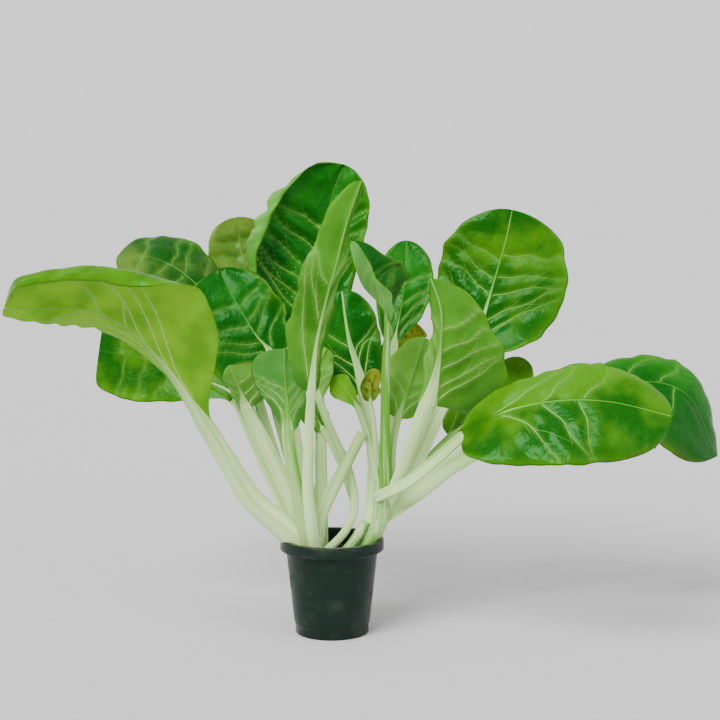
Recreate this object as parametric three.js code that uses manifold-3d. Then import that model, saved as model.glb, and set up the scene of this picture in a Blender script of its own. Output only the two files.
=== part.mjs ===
// Bok choy growing in a small nursery pot: a leggy, white-green stalked plant with two
// crowns and a thin middle stem, standing in a round black plastic pot of dark potting mix.
// Millimetres, +Z up. The origin is the middle of the pot's flat base. The widest spread of
// the leaves runs along X, and the front of the plant faces -Y.

import * as THREE from 'three';
import { mergeVertices } from 'three/addons/utils/BufferGeometryUtils.js';
import Module from 'manifold-3d';

const wasm = await Module();
wasm.setup();

// ---- pot and potting mix ---------------------------------------------------------------

const POT_HEIGHT = 60;
const POT_BASE_RADIUS = 23;
const POT_TOP_RADIUS = 29.5;
const POT_WALL = 1.2;
const POT_FLOOR = 1.6;
const RIM_RADIUS = 32.5;
const RIM_DEPTH = 7;
const RIM_ROUND = 0.8;
const FOOT_CHAMFER = 1.2;
const ROUND_SIDES = 36;

// The mix meets the wall at MIX_TOP and rises to its middle by MIX_MOUND.
const MIX_TOP = 50;
const MIX_MOUND = 3;
// Shares of the mix's radius and of its mound, from the wall to near the middle.
const MOUND_PROFILE = [[1, 0], [0.7, 0.5], [0.35, 0.9]];
// The play between pieces that touch.
const FIT_GAP = 0.3;
// Points of one body that lie closer than this are one point.
const MERGE_DISTANCE = 1e-4;

// ---- how every leaf is built -----------------------------------------------------------

const BLADE_THICKNESS = 0.8;
const STALK_STEPS = 4;
const BLADE_STEPS = 9;
// The rib narrows from the stalk to this at the tip, quickly at first.
const RIB_TIP_RADIUS = 0.8;
const RIB_TIP_DEPTH = 0.3;
const RIB_TAPER = 0.6;
// A stalk's edges bend up by this many degrees, which makes it a shallow gutter.
const STALK_GUTTER = 35;
// How far along the blade its own curl has taken over from the stalk's gutter.
const CURL_START = 0.3;
const BEND_SLICES = 4;
// Places across half a section: shares of the rib's half-width and of the blade beyond it.
const ACROSS_RIB = [0, 0.6, 0.82, 0.92, 1];
const ACROSS_BLADE = [0, 0.02, 0.34, 0.68, 1];

// ---- the leaves ------------------------------------------------------------------------
// stalk and rib are points along the leaf's middle line; the blade starts where they meet,
// at rib[0]. face lists where the upper face looks at the crown, at the blade's foot and at
// the tip. width and depth are the stalk's, at the crown and at the foot. fold tips both
// halves of the blade up from the rib, and wave is the margin's ripple: its size and count.
// left and right are the blade's halves, as seen from its upper face with the tip up. half
// is the half's width, widest how far along the blade that is, and round the outline's
// power, 0.5 being an ellipse. curl bends the half towards the upper face, in degrees, and
// tipCurl is its value at the tip. lobe carries the half's lower corner back along the stalk.

const PLAIN_HALF = { widest: 0.5, round: 0.5, curl: 0, lobe: 0 };

const LEAVES = {
  leaf_far_left: {
    kind: 'light',
    stalk: [[-15, -12, 62], [-28, -16, 75], [-43, -20, 89], [-60, -29, 113]],
    rib: [[-76, -39, 138], [-94, -51, 168], [-115, -65, 193], [-139, -79, 210], [-180, -98, 218]],
    face: [[0.3, 0.9, 0.3], [0.4, 0.8, 0.4], [0, 0.75, 0.65]],
    width: [20, 10.5], depth: [6, 3.5], wave: [2, 2],
    left: { half: 53, widest: 0.52, round: 0.36, curl: -5, tipCurl: -30, lobe: -30 },
    right: { half: 30, widest: 0.6, round: 0.8, curl: 80 },
  },
  leaf_low_left: {
    kind: 'dark',
    stalk: [[-17, 3, 57], [-32, 13, 87], [-48, 25, 119]],
    rib: [[-61, 36, 143], [-81, 44, 153], [-107, 50, 162], [-133, 54, 168], [-156, 58, 171]],
    face: [[0.4, -0.7, 0.5], [0.2, -0.8, 0.6], [0, -0.8, 0.6]],
    width: [15, 12], depth: [5, 3.5], wave: [1.5, 2],
    left: { half: 22, curl: 20 },
    right: { half: 33, widest: 0.72, round: 0.3, curl: -30, lobe: -10 },
  },
  leaf_left_under: {
    kind: 'light',
    stalk: [[-18, -3, 57], [-27, -11, 92], [-41, -20, 125]],
    rib: [[-51, -25, 145], [-54, -27, 155], [-58, -28, 164], [-61, -28, 172]],
    face: [[0.2, 0.9, 0.2], [0.2, 0.9, 0.2], [0.1, 0.9, 0.3]],
    width: [9, 8], depth: [4, 2.6], wave: [1, 2],
    left: { half: 24, widest: 0.6, round: 0.4, curl: -15 },
    right: { half: 8, widest: 0.6, round: 0.5, curl: 60 },
  },
  leaf_left_dark: {
    kind: 'dark',
    stalk: [[-14, 5, 57], [-19, 8, 95], [-26, 11, 138]],
    rib: [[-36, 13, 175], [-51, 16, 187], [-60, 21, 200], [-67, 27, 213], [-72, 34, 225]],
    face: [[0.1, -0.9, 0.3], [0, -1, 0.2], [0, -0.8, 0.6]],
    width: [9, 6], depth: [4, 2.6], wave: [2, 2],
    left: { half: 38, widest: 0.4, curl: 20, lobe: 12 },
    right: { half: 25, widest: 0.4, curl: 50, lobe: 8 },
  },
  leaf_front_small: {
    kind: 'light',
    stalk: [[-16, -7, 58], [-18, -11, 75], [-21, -23, 95], [-24, -32, 114]],
    rib: [[-26, -37, 134], [-26, -41, 151], [-27, -44, 168], [-27, -45, 184]],
    face: [[0, 0.9, 0.3], [0.1, 0.9, 0.2], [0, 0.9, 0.4]],
    width: [9, 8], depth: [3.6, 2.6], wave: [1, 3],
    left: { half: 12, widest: 0.6, round: 0.45, curl: 20 },
    right: { half: 20, widest: 0.72, round: 0.5, curl: 15 },
  },
  leaf_tall_front: {
    kind: 'light',
    stalk: [[-12, -11, 57], [-14, -26, 94], [-13, -42, 128]],
    rib: [
      [-11, -56, 160], [-8, -65, 188], [-2, -71, 215], [4, -74, 237], [10, -74, 260],
      [18, -70, 283],
    ],
    face: [[0, 0.9, 0.2], [0.1, 0.95, 0.2], [-0.2, 0.9, 0.3]],
    width: [11, 7], depth: [4, 2.8], wave: [1.5, 3],
    left: { half: 15, widest: 0.5, round: 0.5, curl: 80 },
    right: { half: 18, widest: 0.35, round: 0.5, curl: 15 },
  },
  leaf_tall_back: {
    kind: 'dark',
    stalk: [[-7, 3, 57], [-7, 14, 94], [-8, 24, 138]],
    rib: [[-12, 44, 178], [-11, 56, 209], [-7, 64, 240], [-1, 69, 269], [7, 71, 291]],
    face: [[0, -0.9, 0.2], [0, -1, 0.1], [0.1, -0.9, 0.4]],
    width: [9, 6], depth: [4, 2.8], wave: [2, 3],
    left: { half: 56, widest: 0.3, round: 0.62, curl: 105, tipCurl: 60 },
    right: { half: 27, widest: 0.6, round: 0.45, curl: 25, lobe: 8 },
  },
  leaf_back_olive: {
    kind: 'dark',
    stalk: [[-14, 10, 57], [-26, 36, 97], [-40, 64, 142]],
    rib: [[-50, 88, 183], [-55, 100, 203], [-60, 110, 221], [-64, 117, 238], [-65, 120, 255]],
    face: [[0.3, -0.9, 0.3], [0.2, -0.9, 0.3], [0, -0.7, 0.7]],
    width: [9, 6], depth: [4, 2.6], wave: [1.5, 2],
    left: { half: 23, widest: 0.6, curl: 10 },
    right: { half: 27, widest: 0.6, curl: 10 },
  },
  leaf_back_left: {
    kind: 'dark',
    stalk: [[-18, 10, 57], [-34, 26, 98], [-50, 46, 146]],
    rib: [[-64, 62, 186], [-85, 72, 208], [-104, 80, 223], [-124, 86, 230], [-144, 92, 228]],
    face: [[0.5, -0.6, 0.4], [0.4, -0.8, 0.5], [0, -0.7, 0.7]],
    width: [10, 6], depth: [4, 2.6], wave: [1.5, 2],
    left: { half: 24, widest: 0.55, curl: -10 },
    right: { half: 26, widest: 0.55, curl: -25 },
  },
  leaf_fan: {
    kind: 'dark',
    stalk: [[26, 2, 93], [26, 2, 110], [24, 6, 128]],
    rib: [[20, 12, 149], [16, 14, 165], [11, 16, 181], [8, 20, 197], [6, 26, 212]],
    face: [[0, -1, 0], [0.1, -1, 0.3], [0, -0.8, 0.6]],
    width: [7, 7], depth: [3, 2.6], wave: [1.5, 3],
    left: { half: 22, widest: 0.55, round: 0.45, curl: 25 },
    right: { half: 19, widest: 0.6, round: 0.4, curl: 25 },
  },
  leaf_folded: {
    kind: 'light',
    stalk: [[33, -5, 95], [33, -13, 125], [33, -26, 165]],
    rib: [[34, -38, 201], [29, -41, 211], [20, -42, 221], [15, -42, 234], [12, -38, 247]],
    face: [[0.2, 0.9, 0.1], [0.8, 0.3, 0.6], [0.9, 0, 0.3]],
    width: [7, 6.5], depth: [4, 3], fold: 50, wave: [1, 2],
    left: { half: 16, widest: 0.45, round: 0.5, curl: 10 },
    right: { half: 28, widest: 0.5, round: 0.45, curl: 10 },
  },
  leaf_upright_dark: {
    kind: 'dark',
    stalk: [[34, 5, 93], [36, 10, 125], [38, 14, 155]],
    rib: [[39, 20, 179], [43, 26, 200], [46, 33, 221], [47, 42, 243]],
    face: [[0, -1, 0.1], [0, -1, 0.2], [0, -0.8, 0.6]],
    width: [6, 5], depth: [3, 2.4], wave: [1.5, 2],
    left: { half: 17, widest: 0.55, curl: 30 },
    right: { half: 18, widest: 0.55, curl: 20 },
  },
  leaf_right_under: {
    kind: 'light',
    stalk: [[33, 2, 68], [42, -15, 101], [50, -29, 128]],
    rib: [[58, -40, 150], [63, -45, 172], [65, -49, 190], [65, -51, 208], [59, -50, 226]],
    face: [[-0.3, 0.9, 0.3], [-0.2, 0.9, 0.3], [0, 0.9, 0.4]],
    width: [13, 11], depth: [5, 3.4], wave: [2, 2],
    left: { half: 46, widest: 0.3, round: 0.72, curl: 10, lobe: 14 },
    right: { half: 7, widest: 0.5, round: 0.5, curl: 90 },
  },
  leaf_round_right: {
    kind: 'dark',
    stalk: [[34, 7, 69], [52, 24, 98], [71, 40, 138]],
    rib: [[91, 52, 175], [99, 58, 198], [106, 62, 221], [112, 64, 242], [116, 64, 262]],
    face: [[-0.5, -0.7, 0.4], [-0.2, -0.95, 0.2], [0, -0.9, 0.4]],
    width: [12, 8], depth: [4.5, 3], wave: [2, 2],
    left: { half: 38, widest: 0.5, curl: -10, lobe: 10 },
    right: { half: 46, widest: 0.5, curl: -10, lobe: 10 },
  },
  leaf_drooping: {
    kind: 'dark',
    stalk: [[30, -9, 89], [46, -21, 99], [61, -32, 113]],
    rib: [[79, -44, 131], [102, -56, 147], [132, -64, 155], [163, -68, 155], [198, -70, 147]],
    face: [[-0.3, -1, 0.1], [-0.3, -0.6, 0.7], [0.1, -0.8, 0.6]],
    width: [11, 12], depth: [4, 3], wave: [2, 2],
    left: { half: 27, widest: 0.64, round: 0.55, curl: -20 },
    right: { half: 41, widest: 0.56, round: 0.5, curl: -25, lobe: 3 },
  },
  leaf_far_right: {
    kind: 'dark',
    stalk: [[32, 4, 69], [51, 9, 82], [72, 16, 98]],
    rib: [
      [97, 26, 113], [126, 32, 129], [161, 36, 146], [197, 38, 153], [227, 36, 144],
      [243, 30, 113],
    ],
    face: [[-0.3, -1, 0.2], [-0.3, -0.6, 0.8], [0.7, -0.6, 0.3]],
    width: [16, 14], depth: [5, 3.2], wave: [2, 2],
    left: { half: 22, widest: 0.68, curl: -25 },
    right: { half: 48, widest: 0.78, curl: -15 },
  },
  leaf_right_inner: {
    kind: 'dark',
    stalk: [[31, 10, 77], [51, 27, 93], [71, 44, 112]],
    rib: [[89, 58, 127], [103, 64, 139], [116, 69, 151], [129, 72, 164]],
    face: [[-0.4, -0.4, 0.8], [-0.4, -0.7, 0.6], [-0.3, -0.8, 0.5]],
    width: [9, 7], depth: [4, 2.6], wave: [1, 2],
    left: { half: 16, round: 0.45, curl: 10 },
    right: { half: 17, round: 0.45, curl: 10 },
  },
  leaf_pale_inner: {
    kind: 'light',
    stalk: [[37, -2, 92], [37, -5, 107], [38, -8, 122]],
    rib: [[41, -9, 137], [46, -10, 152], [51, -11, 168], [57, -12, 187]],
    face: [[0, 1, 0], [0, 1, 0.2], [0, 0.9, 0.4]],
    width: [5, 4.5], depth: [3, 2.2], wave: [1, 2],
    left: { half: 16, curl: 40 },
    right: { half: 17, curl: 10 },
  },
  leaf_yellow_old: {
    kind: 'yellow',
    stalk: [[30, 8, 93], [33, 20, 118], [37, 32, 145]],
    rib: [[41, 40, 164], [46, 47, 177], [54, 53, 190]],
    face: [[0, -1, 0.1], [-0.2, -0.9, 0.3], [-0.2, -0.8, 0.6]],
    width: [4.5, 3.5], depth: [2.6, 2], wave: [2.5, 3],
    left: { half: 11, round: 0.45, curl: 40 },
    right: { half: 13, round: 0.45, curl: 50 },
  },
  leaf_yellow_small: {
    kind: 'yellow',
    stalk: [[29, -7, 103], [27, -8, 120], [26, -8, 136]],
    rib: [[24, -7, 147], [24, -7, 157], [28, -7, 167]],
    face: [[0, -1, 0.1], [0, -1, 0.1], [0, -1, 0.3]],
    width: [3, 2.6], depth: [2.2, 1.6], wave: [1, 2],
    left: { half: 6, curl: 40 },
    right: { half: 6, curl: 40 },
  },
  leaf_pale_middle: {
    kind: 'light',
    stalk: [[-5, -8, 52], [8, -6, 65], [14, -2, 81], [10, 0, 104], [-1, 0, 129]],
    rib: [[-8, 1, 148], [-9, 1, 159], [-7, 1, 170], [-3, 1, 179]],
    face: [[-0.5, 0.8, 0.3], [0.3, 0.9, 0.2], [0, 1, 0.2]],
    width: [5, 5], depth: [3, 2.2], wave: [1, 2],
    left: { half: 9, widest: 0.55, curl: 15 },
    right: { half: 12, widest: 0.55, curl: 15 },
  },
  leaf_olive_inner: {
    kind: 'yellow',
    stalk: [[24, -3, 93], [24, -3, 110], [21, 0, 128]],
    rib: [[16, 3, 142], [11, 4, 150], [6, 5, 156], [1, 6, 161]],
    face: [[0, -1, 0.1], [-0.3, -0.9, 0.3], [-0.3, -0.9, 0.4]],
    width: [4, 4], depth: [2.6, 2], wave: [1, 2],
    left: { half: 11, curl: 10 },
    right: { half: 6, curl: 30 },
  },
  leaf_low_middle: {
    kind: 'dark',
    stalk: [[12, 4, 88], [6, 10, 104], [-1, 15, 118]],
    rib: [[-6, 18, 126], [-11, 22, 135], [-16, 26, 145]],
    face: [[-0.3, -0.9, 0.2], [-0.3, -0.9, 0.3], [-0.2, -0.9, 0.5]],
    width: [4.5, 4], depth: [2.4, 1.8], wave: [1, 2],
    left: { half: 9, curl: 15 },
    right: { half: 8, curl: 15 },
  },
};

// Stalks whose blades were picked: they end in a plain cut.
const CUT_STALKS = {
  cut_stalk_front: {
    kind: 'stalk',
    stalk: [[-8, -12, 55], [-3, -10, 82], [8, -6, 104], [19, -3, 125]],
    face: [[0.5, 0.8, 0.3], [0.5, 0.8, 0.3]],
    width: [8, 8.5], depth: [3.6, 3],
  },
  cut_stalk_back: {
    kind: 'stalk',
    stalk: [[-8, -2, 58], [-4, 2, 82], [4, 6, 99], [11, 8, 110]],
    face: [[0.5, 0.8, 0.3], [0.5, 0.8, 0.3]],
    width: [6, 5.5], depth: [3, 2.4],
  },
};

// ---- the crowns, where the stalks are gathered ------------------------------------------

const LEFT_CROWN_AT = [-15, -1];
// Radius and height, from the underside to the top.
const LEFT_CROWN_PROFILE = [[0, 43], [7, 44.5], [9.5, 49], [9, 56], [5, 61], [0, 62]];
const LEFT_CROWN_SIDES = 24;
const RIGHT_STEM_PATH = [[14, 0, 44], [18.5, 0, 55], [24.5, 0, 66], [29, 0, 80], [30, 0, 98]];
const RIGHT_STEM_RADIUS = [6, 5.5];
const RIGHT_STEM_SIDES = 16;
const RIGHT_STEM_STEPS = 8;

// ---- materials -------------------------------------------------------------------------

function material(red, green, blue, roughness) {
  const color = new THREE.Color(red, green, blue);
  return new THREE.MeshStandardMaterial({ color, roughness, metalness: 0 });
}

const MATERIALS = {
  dark: () => material(0.05, 0.2, 0.03, 0.35),
  light: () => material(0.22, 0.4, 0.1, 0.45),
  yellow: () => material(0.4, 0.38, 0.05, 0.5),
  stalk: () => material(0.6, 0.68, 0.42, 0.45),
  pot: () => material(0.012, 0.02, 0.016, 0.3),
  mix: () => material(0.045, 0.03, 0.022, 0.95),
};

// ---- sections and skins ----------------------------------------------------------------

const lerp = THREE.MathUtils.lerp;
const smooth = (share) => THREE.MathUtils.smoothstep(share, 0, 1);
const radians = THREE.MathUtils.degToRad;

// Share of a half's full width at v, from 0 at the blade's foot to 1 at its tip.
function outline({ widest, round }, v) {
  const s = v ** (Math.log(0.5) / Math.log(widest));
  return Math.max(4 * s * (1 - s), 0) ** round;
}

// The direction that the upper face looks at u along the stalk and v along the blade.
function facing(leaf, u, v) {
  const [crown, foot, tip] = leaf.face.map((way) => new THREE.Vector3(...way).normalize());
  return v > 0 ? foot.lerp(tip, v) : crown.lerp(foot, u);
}

// One half of a section, from the rib to the margin: where each point of the middle surface
// lies, the angle that the surface has turned by there, and how near the margin it is.
// grow swells the section all round.
function halfSection(leaf, side, v, ribHalf, grow) {
  const { curl, tipCurl = curl } = side;
  const half = ribHalf + grow + (v > 0 ? outline(side, v) * side.half : 0);
  const bladeShare = smooth(v / CURL_START);
  const bend = radians(v > 0 ? lerp(STALK_GUTTER, lerp(curl, tipCurl, v), bladeShare) : STALK_GUTTER);
  const fold = radians((leaf.fold ?? 0) * bladeShare);
  const angleAt = (x) => fold * Math.min(x / ribHalf, 1) + bend * (x / half) ** 2;
  const points = [];
  let [x, across, up] = [0, 0, 0];
  for (let j = 0; j < ACROSS_RIB.length; j += 1) {
    const target = (ribHalf + grow) * ACROSS_RIB[j] + (half - ribHalf - grow) * ACROSS_BLADE[j];
    const slice = (target - x) / BEND_SLICES;
    for (let k = 0; k < BEND_SLICES && slice > 0; k += 1) {
      across += Math.cos(angleAt(x + slice / 2)) * slice;
      up += Math.sin(angleAt(x + slice / 2)) * slice;
      x += slice;
    }
    points.push({ x, across, up, angle: angleAt(x), edge: (x / half) ** 2 });
  }
  return points;
}

// The closed ring of points round a leaf at one place along it, upper face first. push
// moves an end's ring outwards with grow.
function ring(leaf, curve, place, grow) {
  const { t, u, v, push } = place;
  const along = curve.getTangent(t);
  const centre = curve.getPoint(t).addScaledVector(along, push * grow);
  const face = facing(leaf, u, v);
  const normal = face.addScaledVector(along, -face.dot(along)).normalize();
  const right = new THREE.Vector3().crossVectors(along, normal);

  const [crownWidth, footWidth] = leaf.width;
  const [crownDepth, footDepth] = leaf.depth;
  const ribHalf = v > 0
    ? lerp(footWidth / 2, RIB_TIP_RADIUS, v ** RIB_TAPER)
    : lerp(crownWidth, footWidth, u) / 2;
  const ribDepth = v > 0
    ? lerp(footDepth - BLADE_THICKNESS, RIB_TIP_DEPTH, v ** RIB_TAPER)
    : lerp(crownDepth, footDepth, u) - BLADE_THICKNESS;

  const [upper, lower] = [[], []];
  for (const way of [-1, 1]) {
    const side = { ...PLAIN_HALF, ...(way < 0 ? leaf.left : leaf.right) };
    const share = v > 0 ? outline(side, v) : 0;
    const [size, count] = leaf.wave ?? [0, 0];
    const points = halfSection(leaf, side, v, ribHalf, grow);
    for (const { x, across, up, angle, edge } of way < 0 ? points.slice(1).reverse() : points) {
      const out = new THREE.Vector3()
        .addScaledVector(right, -way * Math.sin(angle))
        .addScaledVector(normal, Math.cos(angle));
      const ripple = size * edge * share * Math.sin(2 * Math.PI * count * v + way);
      const back = side.lobe * edge * share * (1 - v) ** 2;
      const middle = centre.clone()
        .addScaledVector(right, way * across)
        .addScaledVector(normal, up)
        .addScaledVector(out, ripple)
        .addScaledVector(along, -back);
      const swell = ribDepth * Math.max(1 - (x / ribHalf) ** 2, 0);
      upper.push(middle.clone().addScaledVector(out, BLADE_THICKNESS / 2 + grow));
      lower.push(middle.clone().addScaledVector(out, -(BLADE_THICKNESS / 2 + swell + grow)));
    }
  }
  return [...upper, ...lower.reverse()];
}

// The places along a leaf where it gets a ring, from the crown to the tip.
function places(leaf, withBlade) {
  const last = leaf.stalk.length + (leaf.rib?.length ?? 0) - 1;
  const foot = leaf.rib ? leaf.stalk.length / last : 1;
  const list = [];
  for (let k = 0; k <= STALK_STEPS; k += 1) {
    const u = k / STALK_STEPS;
    list.push({ t: foot * u, u, v: 0, push: 0 });
  }
  for (let k = 1; withBlade && k <= BLADE_STEPS; k += 1) {
    const v = (1 - Math.cos((Math.PI * k) / BLADE_STEPS)) / 2;
    list.push({ t: foot + (1 - foot) * v, u: 1, v, push: 0 });
  }
  list[0].push = -1;
  list[list.length - 1].push = 1;
  return list;
}

// A closed body through rings of points, with both faces of a blade split alike.
function skin(rings) {
  const count = rings[0].length;
  const half = count / 2;
  const index = [];
  for (let k = 0; k + 1 < rings.length; k += 1) {
    for (let j = 0; j < count; j += 1) {
      const next = (j + 1) % count;
      const [a, b] = [k * count + j, k * count + next];
      const [c, d] = [b + count, a + count];
      index.push(...(j < half ? [a, b, c, a, c, d] : [a, b, d, b, c, d]));
    }
  }
  const end = (rings.length - 1) * count;
  for (let j = 0; j + 1 < half; j += 1) {
    const [a, b, c, d] = [j, j + 1, count - 2 - j, count - 1 - j];
    index.push(a, c, b, a, d, c);
    index.push(end + a, end + b, end + c, end + a, end + c, end + d);
  }
  const geometry = new THREE.BufferGeometry();
  const numbers = rings.flat().flatMap((point) => point.toArray());
  geometry.setAttribute('position', new THREE.Float32BufferAttribute(numbers, 3));
  geometry.setIndex(index);
  return geometry;
}

function leafGeometry(leaf, { withBlade = true, grow = 0 } = {}) {
  const points = [...leaf.stalk, ...(leaf.rib ?? [])].map((at) => new THREE.Vector3(...at));
  const curve = new THREE.CatmullRomCurve3(points, false, 'catmullrom', 0.5);
  const list = places(leaf, withBlade && leaf.rib !== undefined);
  return skin(list.map((place) => ring(leaf, curve, place, grow)));
}

// ---- cutting and joining ---------------------------------------------------------------

function solid(geometry) {
  const bare = geometry.clone();
  bare.deleteAttribute('normal');
  bare.deleteAttribute('uv');
  const merged = mergeVertices(bare, MERGE_DISTANCE);
  return new wasm.Manifold(new wasm.Mesh({
    numProp: 3,
    vertProperties: new Float32Array(merged.attributes.position.array),
    triVerts: new Uint32Array(merged.index.array),
  }));
}

function geometryOf(body) {
  const mesh = body.getMesh();
  const geometry = new THREE.BufferGeometry();
  geometry.setAttribute('position', new THREE.BufferAttribute(mesh.vertProperties, 3));
  geometry.setIndex(new THREE.BufferAttribute(mesh.triVerts, 1));
  return geometry;
}

// The body less each cutter that reaches it, without the scraps that this leaves.
function carved(body, cutters) {
  let left = body;
  for (const cutter of cutters) {
    if (left.intersect(cutter).volume() > 0) {
      left = left.subtract(cutter);
    }
  }
  const pieces = left.decompose();
  return pieces.reduce((best, piece) => (piece.volume() > best.volume() ? piece : best));
}

// ---- pot, mix and crowns ---------------------------------------------------------------

function turned(profile, sides) {
  const points = profile.map(([radius, height]) => new THREE.Vector2(radius, height));
  return new THREE.LatheGeometry(points, sides).rotateX(Math.PI / 2);
}

function potRadius(height) {
  return lerp(POT_BASE_RADIUS, POT_TOP_RADIUS, height / POT_HEIGHT);
}

function potGeometry() {
  const inside = (height) => potRadius(height) - POT_WALL;
  const lip = POT_HEIGHT - RIM_ROUND;
  return turned([
    [0, 0],
    [POT_BASE_RADIUS - FOOT_CHAMFER, 0],
    [POT_BASE_RADIUS, FOOT_CHAMFER],
    [potRadius(POT_HEIGHT - RIM_DEPTH), POT_HEIGHT - RIM_DEPTH],
    [RIM_RADIUS - RIM_ROUND, POT_HEIGHT - RIM_DEPTH],
    [RIM_RADIUS, POT_HEIGHT - RIM_DEPTH + RIM_ROUND],
    [RIM_RADIUS, lip],
    [RIM_RADIUS - RIM_ROUND, POT_HEIGHT],
    [inside(POT_HEIGHT) + RIM_ROUND, POT_HEIGHT],
    [inside(lip), lip],
    [inside(POT_FLOOR), POT_FLOOR],
    [0, POT_FLOOR],
  ], ROUND_SIDES);
}

function mixGeometry() {
  const bottom = POT_FLOOR + FIT_GAP;
  const edge = (height) => potRadius(height) - POT_WALL - FIT_GAP;
  const mound = MOUND_PROFILE.map(([share, rise]) => [
    edge(MIX_TOP) * share, MIX_TOP + MIX_MOUND * rise,
  ]);
  return turned([
    [0, bottom],
    [edge(bottom), bottom],
    ...mound,
    [0, MIX_TOP + MIX_MOUND],
  ], ROUND_SIDES);
}

function leftCrownGeometry(grow) {
  const profile = LEFT_CROWN_PROFILE.map(([radius, height]) => {
    const onAxis = radius === 0;
    const lift = height > LEFT_CROWN_PROFILE[0][1] ? grow : -grow;
    return onAxis ? [0, height + lift] : [radius + grow, height];
  });
  return turned(profile, LEFT_CROWN_SIDES).translate(...LEFT_CROWN_AT, 0);
}

function rightStemGeometry(grow) {
  const path = RIGHT_STEM_PATH.map((at) => new THREE.Vector3(...at));
  const curve = new THREE.CatmullRomCurve3(path, false, 'catmullrom', 0.5);
  const rings = [];
  for (let k = 0; k <= RIGHT_STEM_STEPS; k += 1) {
    const t = k / RIGHT_STEM_STEPS;
    const along = curve.getTangent(t);
    const front = new THREE.Vector3(0, -1, 0);
    const right = new THREE.Vector3().crossVectors(along, front);
    const radius = lerp(...RIGHT_STEM_RADIUS, t) + grow;
    const push = (k === RIGHT_STEM_STEPS) - (k === 0);
    const centre = curve.getPoint(t).addScaledVector(along, push * grow);
    rings.push(Array.from({ length: RIGHT_STEM_SIDES }, (_, j) => {
      const angle = Math.PI * (1 - (2 * j + 1) / RIGHT_STEM_SIDES);
      return centre.clone()
        .addScaledVector(right, radius * Math.cos(angle))
        .addScaledVector(front, radius * Math.sin(angle));
    }));
  }
  return skin(rings);
}

// ---- the assembled plant ---------------------------------------------------------------

const plant = new THREE.Group();
plant.name = 'bok_choy';

function addPart(name, geometry, kind) {
  const mesh = new THREE.Mesh(geometry, MATERIALS[kind]());
  mesh.name = name;
  plant.add(mesh);
}

// Stalks that crowd together at a crown are hollowed for those already there.
const stalkRooms = [];
for (const [name, leaf] of Object.entries({ ...CUT_STALKS, ...LEAVES })) {
  const body = carved(solid(leafGeometry(leaf)), stalkRooms);
  addPart(name, geometryOf(body), leaf.kind);
  stalkRooms.push(solid(leafGeometry(leaf, { withBlade: false, grow: FIT_GAP })));
}

const rightStem = carved(solid(rightStemGeometry(0)), stalkRooms);
const leftCrown = carved(solid(leftCrownGeometry(0)), stalkRooms);
addPart('stem_right', geometryOf(rightStem), 'stalk');
addPart('crown_left', geometryOf(leftCrown), 'stalk');

const crownRooms = [solid(rightStemGeometry(FIT_GAP)), solid(leftCrownGeometry(FIT_GAP))];
const pottingMix = carved(solid(mixGeometry()), [...stalkRooms, ...crownRooms]);
addPart('potting_mix', geometryOf(pottingMix), 'mix');
addPart('pot', potGeometry(), 'pot');

export default plant;
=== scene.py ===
"""Finishes a bok choy plant that grows in a small nursery pot.

The leaves, stalks, potting mix and pot take the place of the plain solids of the frame. Sizes
in the tables are millimetres, and everything that is built is in metres, with +Z up and the
middle of the pot's underside at the origin.
"""

import math

import bpy
import numpy as np
from bpy.props import FloatProperty, FloatVectorProperty, IntProperty, PointerProperty
from bpy.types import Operator, Panel, PropertyGroup
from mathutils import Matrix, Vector, noise


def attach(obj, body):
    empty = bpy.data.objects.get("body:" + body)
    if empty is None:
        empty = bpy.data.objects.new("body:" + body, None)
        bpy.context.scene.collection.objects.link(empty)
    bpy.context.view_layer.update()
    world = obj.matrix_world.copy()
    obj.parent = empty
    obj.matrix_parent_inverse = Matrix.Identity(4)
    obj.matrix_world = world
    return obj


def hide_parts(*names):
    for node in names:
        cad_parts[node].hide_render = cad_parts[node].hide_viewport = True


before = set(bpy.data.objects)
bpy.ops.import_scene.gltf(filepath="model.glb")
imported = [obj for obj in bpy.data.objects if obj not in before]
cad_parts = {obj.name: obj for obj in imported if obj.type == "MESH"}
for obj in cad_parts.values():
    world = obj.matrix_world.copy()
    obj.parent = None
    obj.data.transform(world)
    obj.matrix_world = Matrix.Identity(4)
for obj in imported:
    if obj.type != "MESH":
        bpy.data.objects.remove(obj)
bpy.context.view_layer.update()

bl_info = {
    "name": "Potted Bok Choy",
    "version": (1, 0, 0),
    "blender": (4, 5, 0),
    "location": "3D View > Sidebar > Bok Choy",
    "description": "Builds a bok choy plant in a small nursery pot",
    "category": "Add Mesh",
}

MM = 0.001
BODY = "root"

# ---- the leaves' forms --------------------------------------------------------------------------
# stalk and rib are points along a leaf's middle line. The blade starts where they meet, at
# rib[0]. face is the way that the upper face looks: at the crown, at the blade's foot and at the
# tip. width and depth are the stalk's, at the crown and at the blade's foot. flare is how much
# wider the stalk is where it starts, and taper the power by which the rib narrows along the
# blade, a higher one sooner. fold tips both halves of the blade up from the rib, in degrees, and
# wave is the margin's ripple: its size and its count.
#
# left and right are the blade's halves, as seen from its upper face with the tip up. half is the
# half's width, widest how far along the blade that is, round the power of the outline towards
# the tip, 0.5 being an ellipse, and foot its power towards the blade's foot. narrow is the share
# of the width that the half loses evenly on its way to a blunt tip. lobe carries the half's
# lower corner back along the stalk. curl bends the half towards the upper face, in degrees, and
# tip_curl is its value at the tip. roll is how far the half's outer part rolls over, in degrees,
# roll_from how far along the blade it is fully rolled, and roll_share how much of the half that
# outer part is.

PLAIN_LEAF = {"fold": 0, "wave": [1, 2], "flare": 0.3, "taper": 4.5}

PLAIN_HALF = {
    "widest": 0.5, "round": 0.5, "narrow": 0, "lobe": 0, "curl": 0, "roll": 0, "roll_from": 0,
    "roll_share": 0.25,
}

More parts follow.
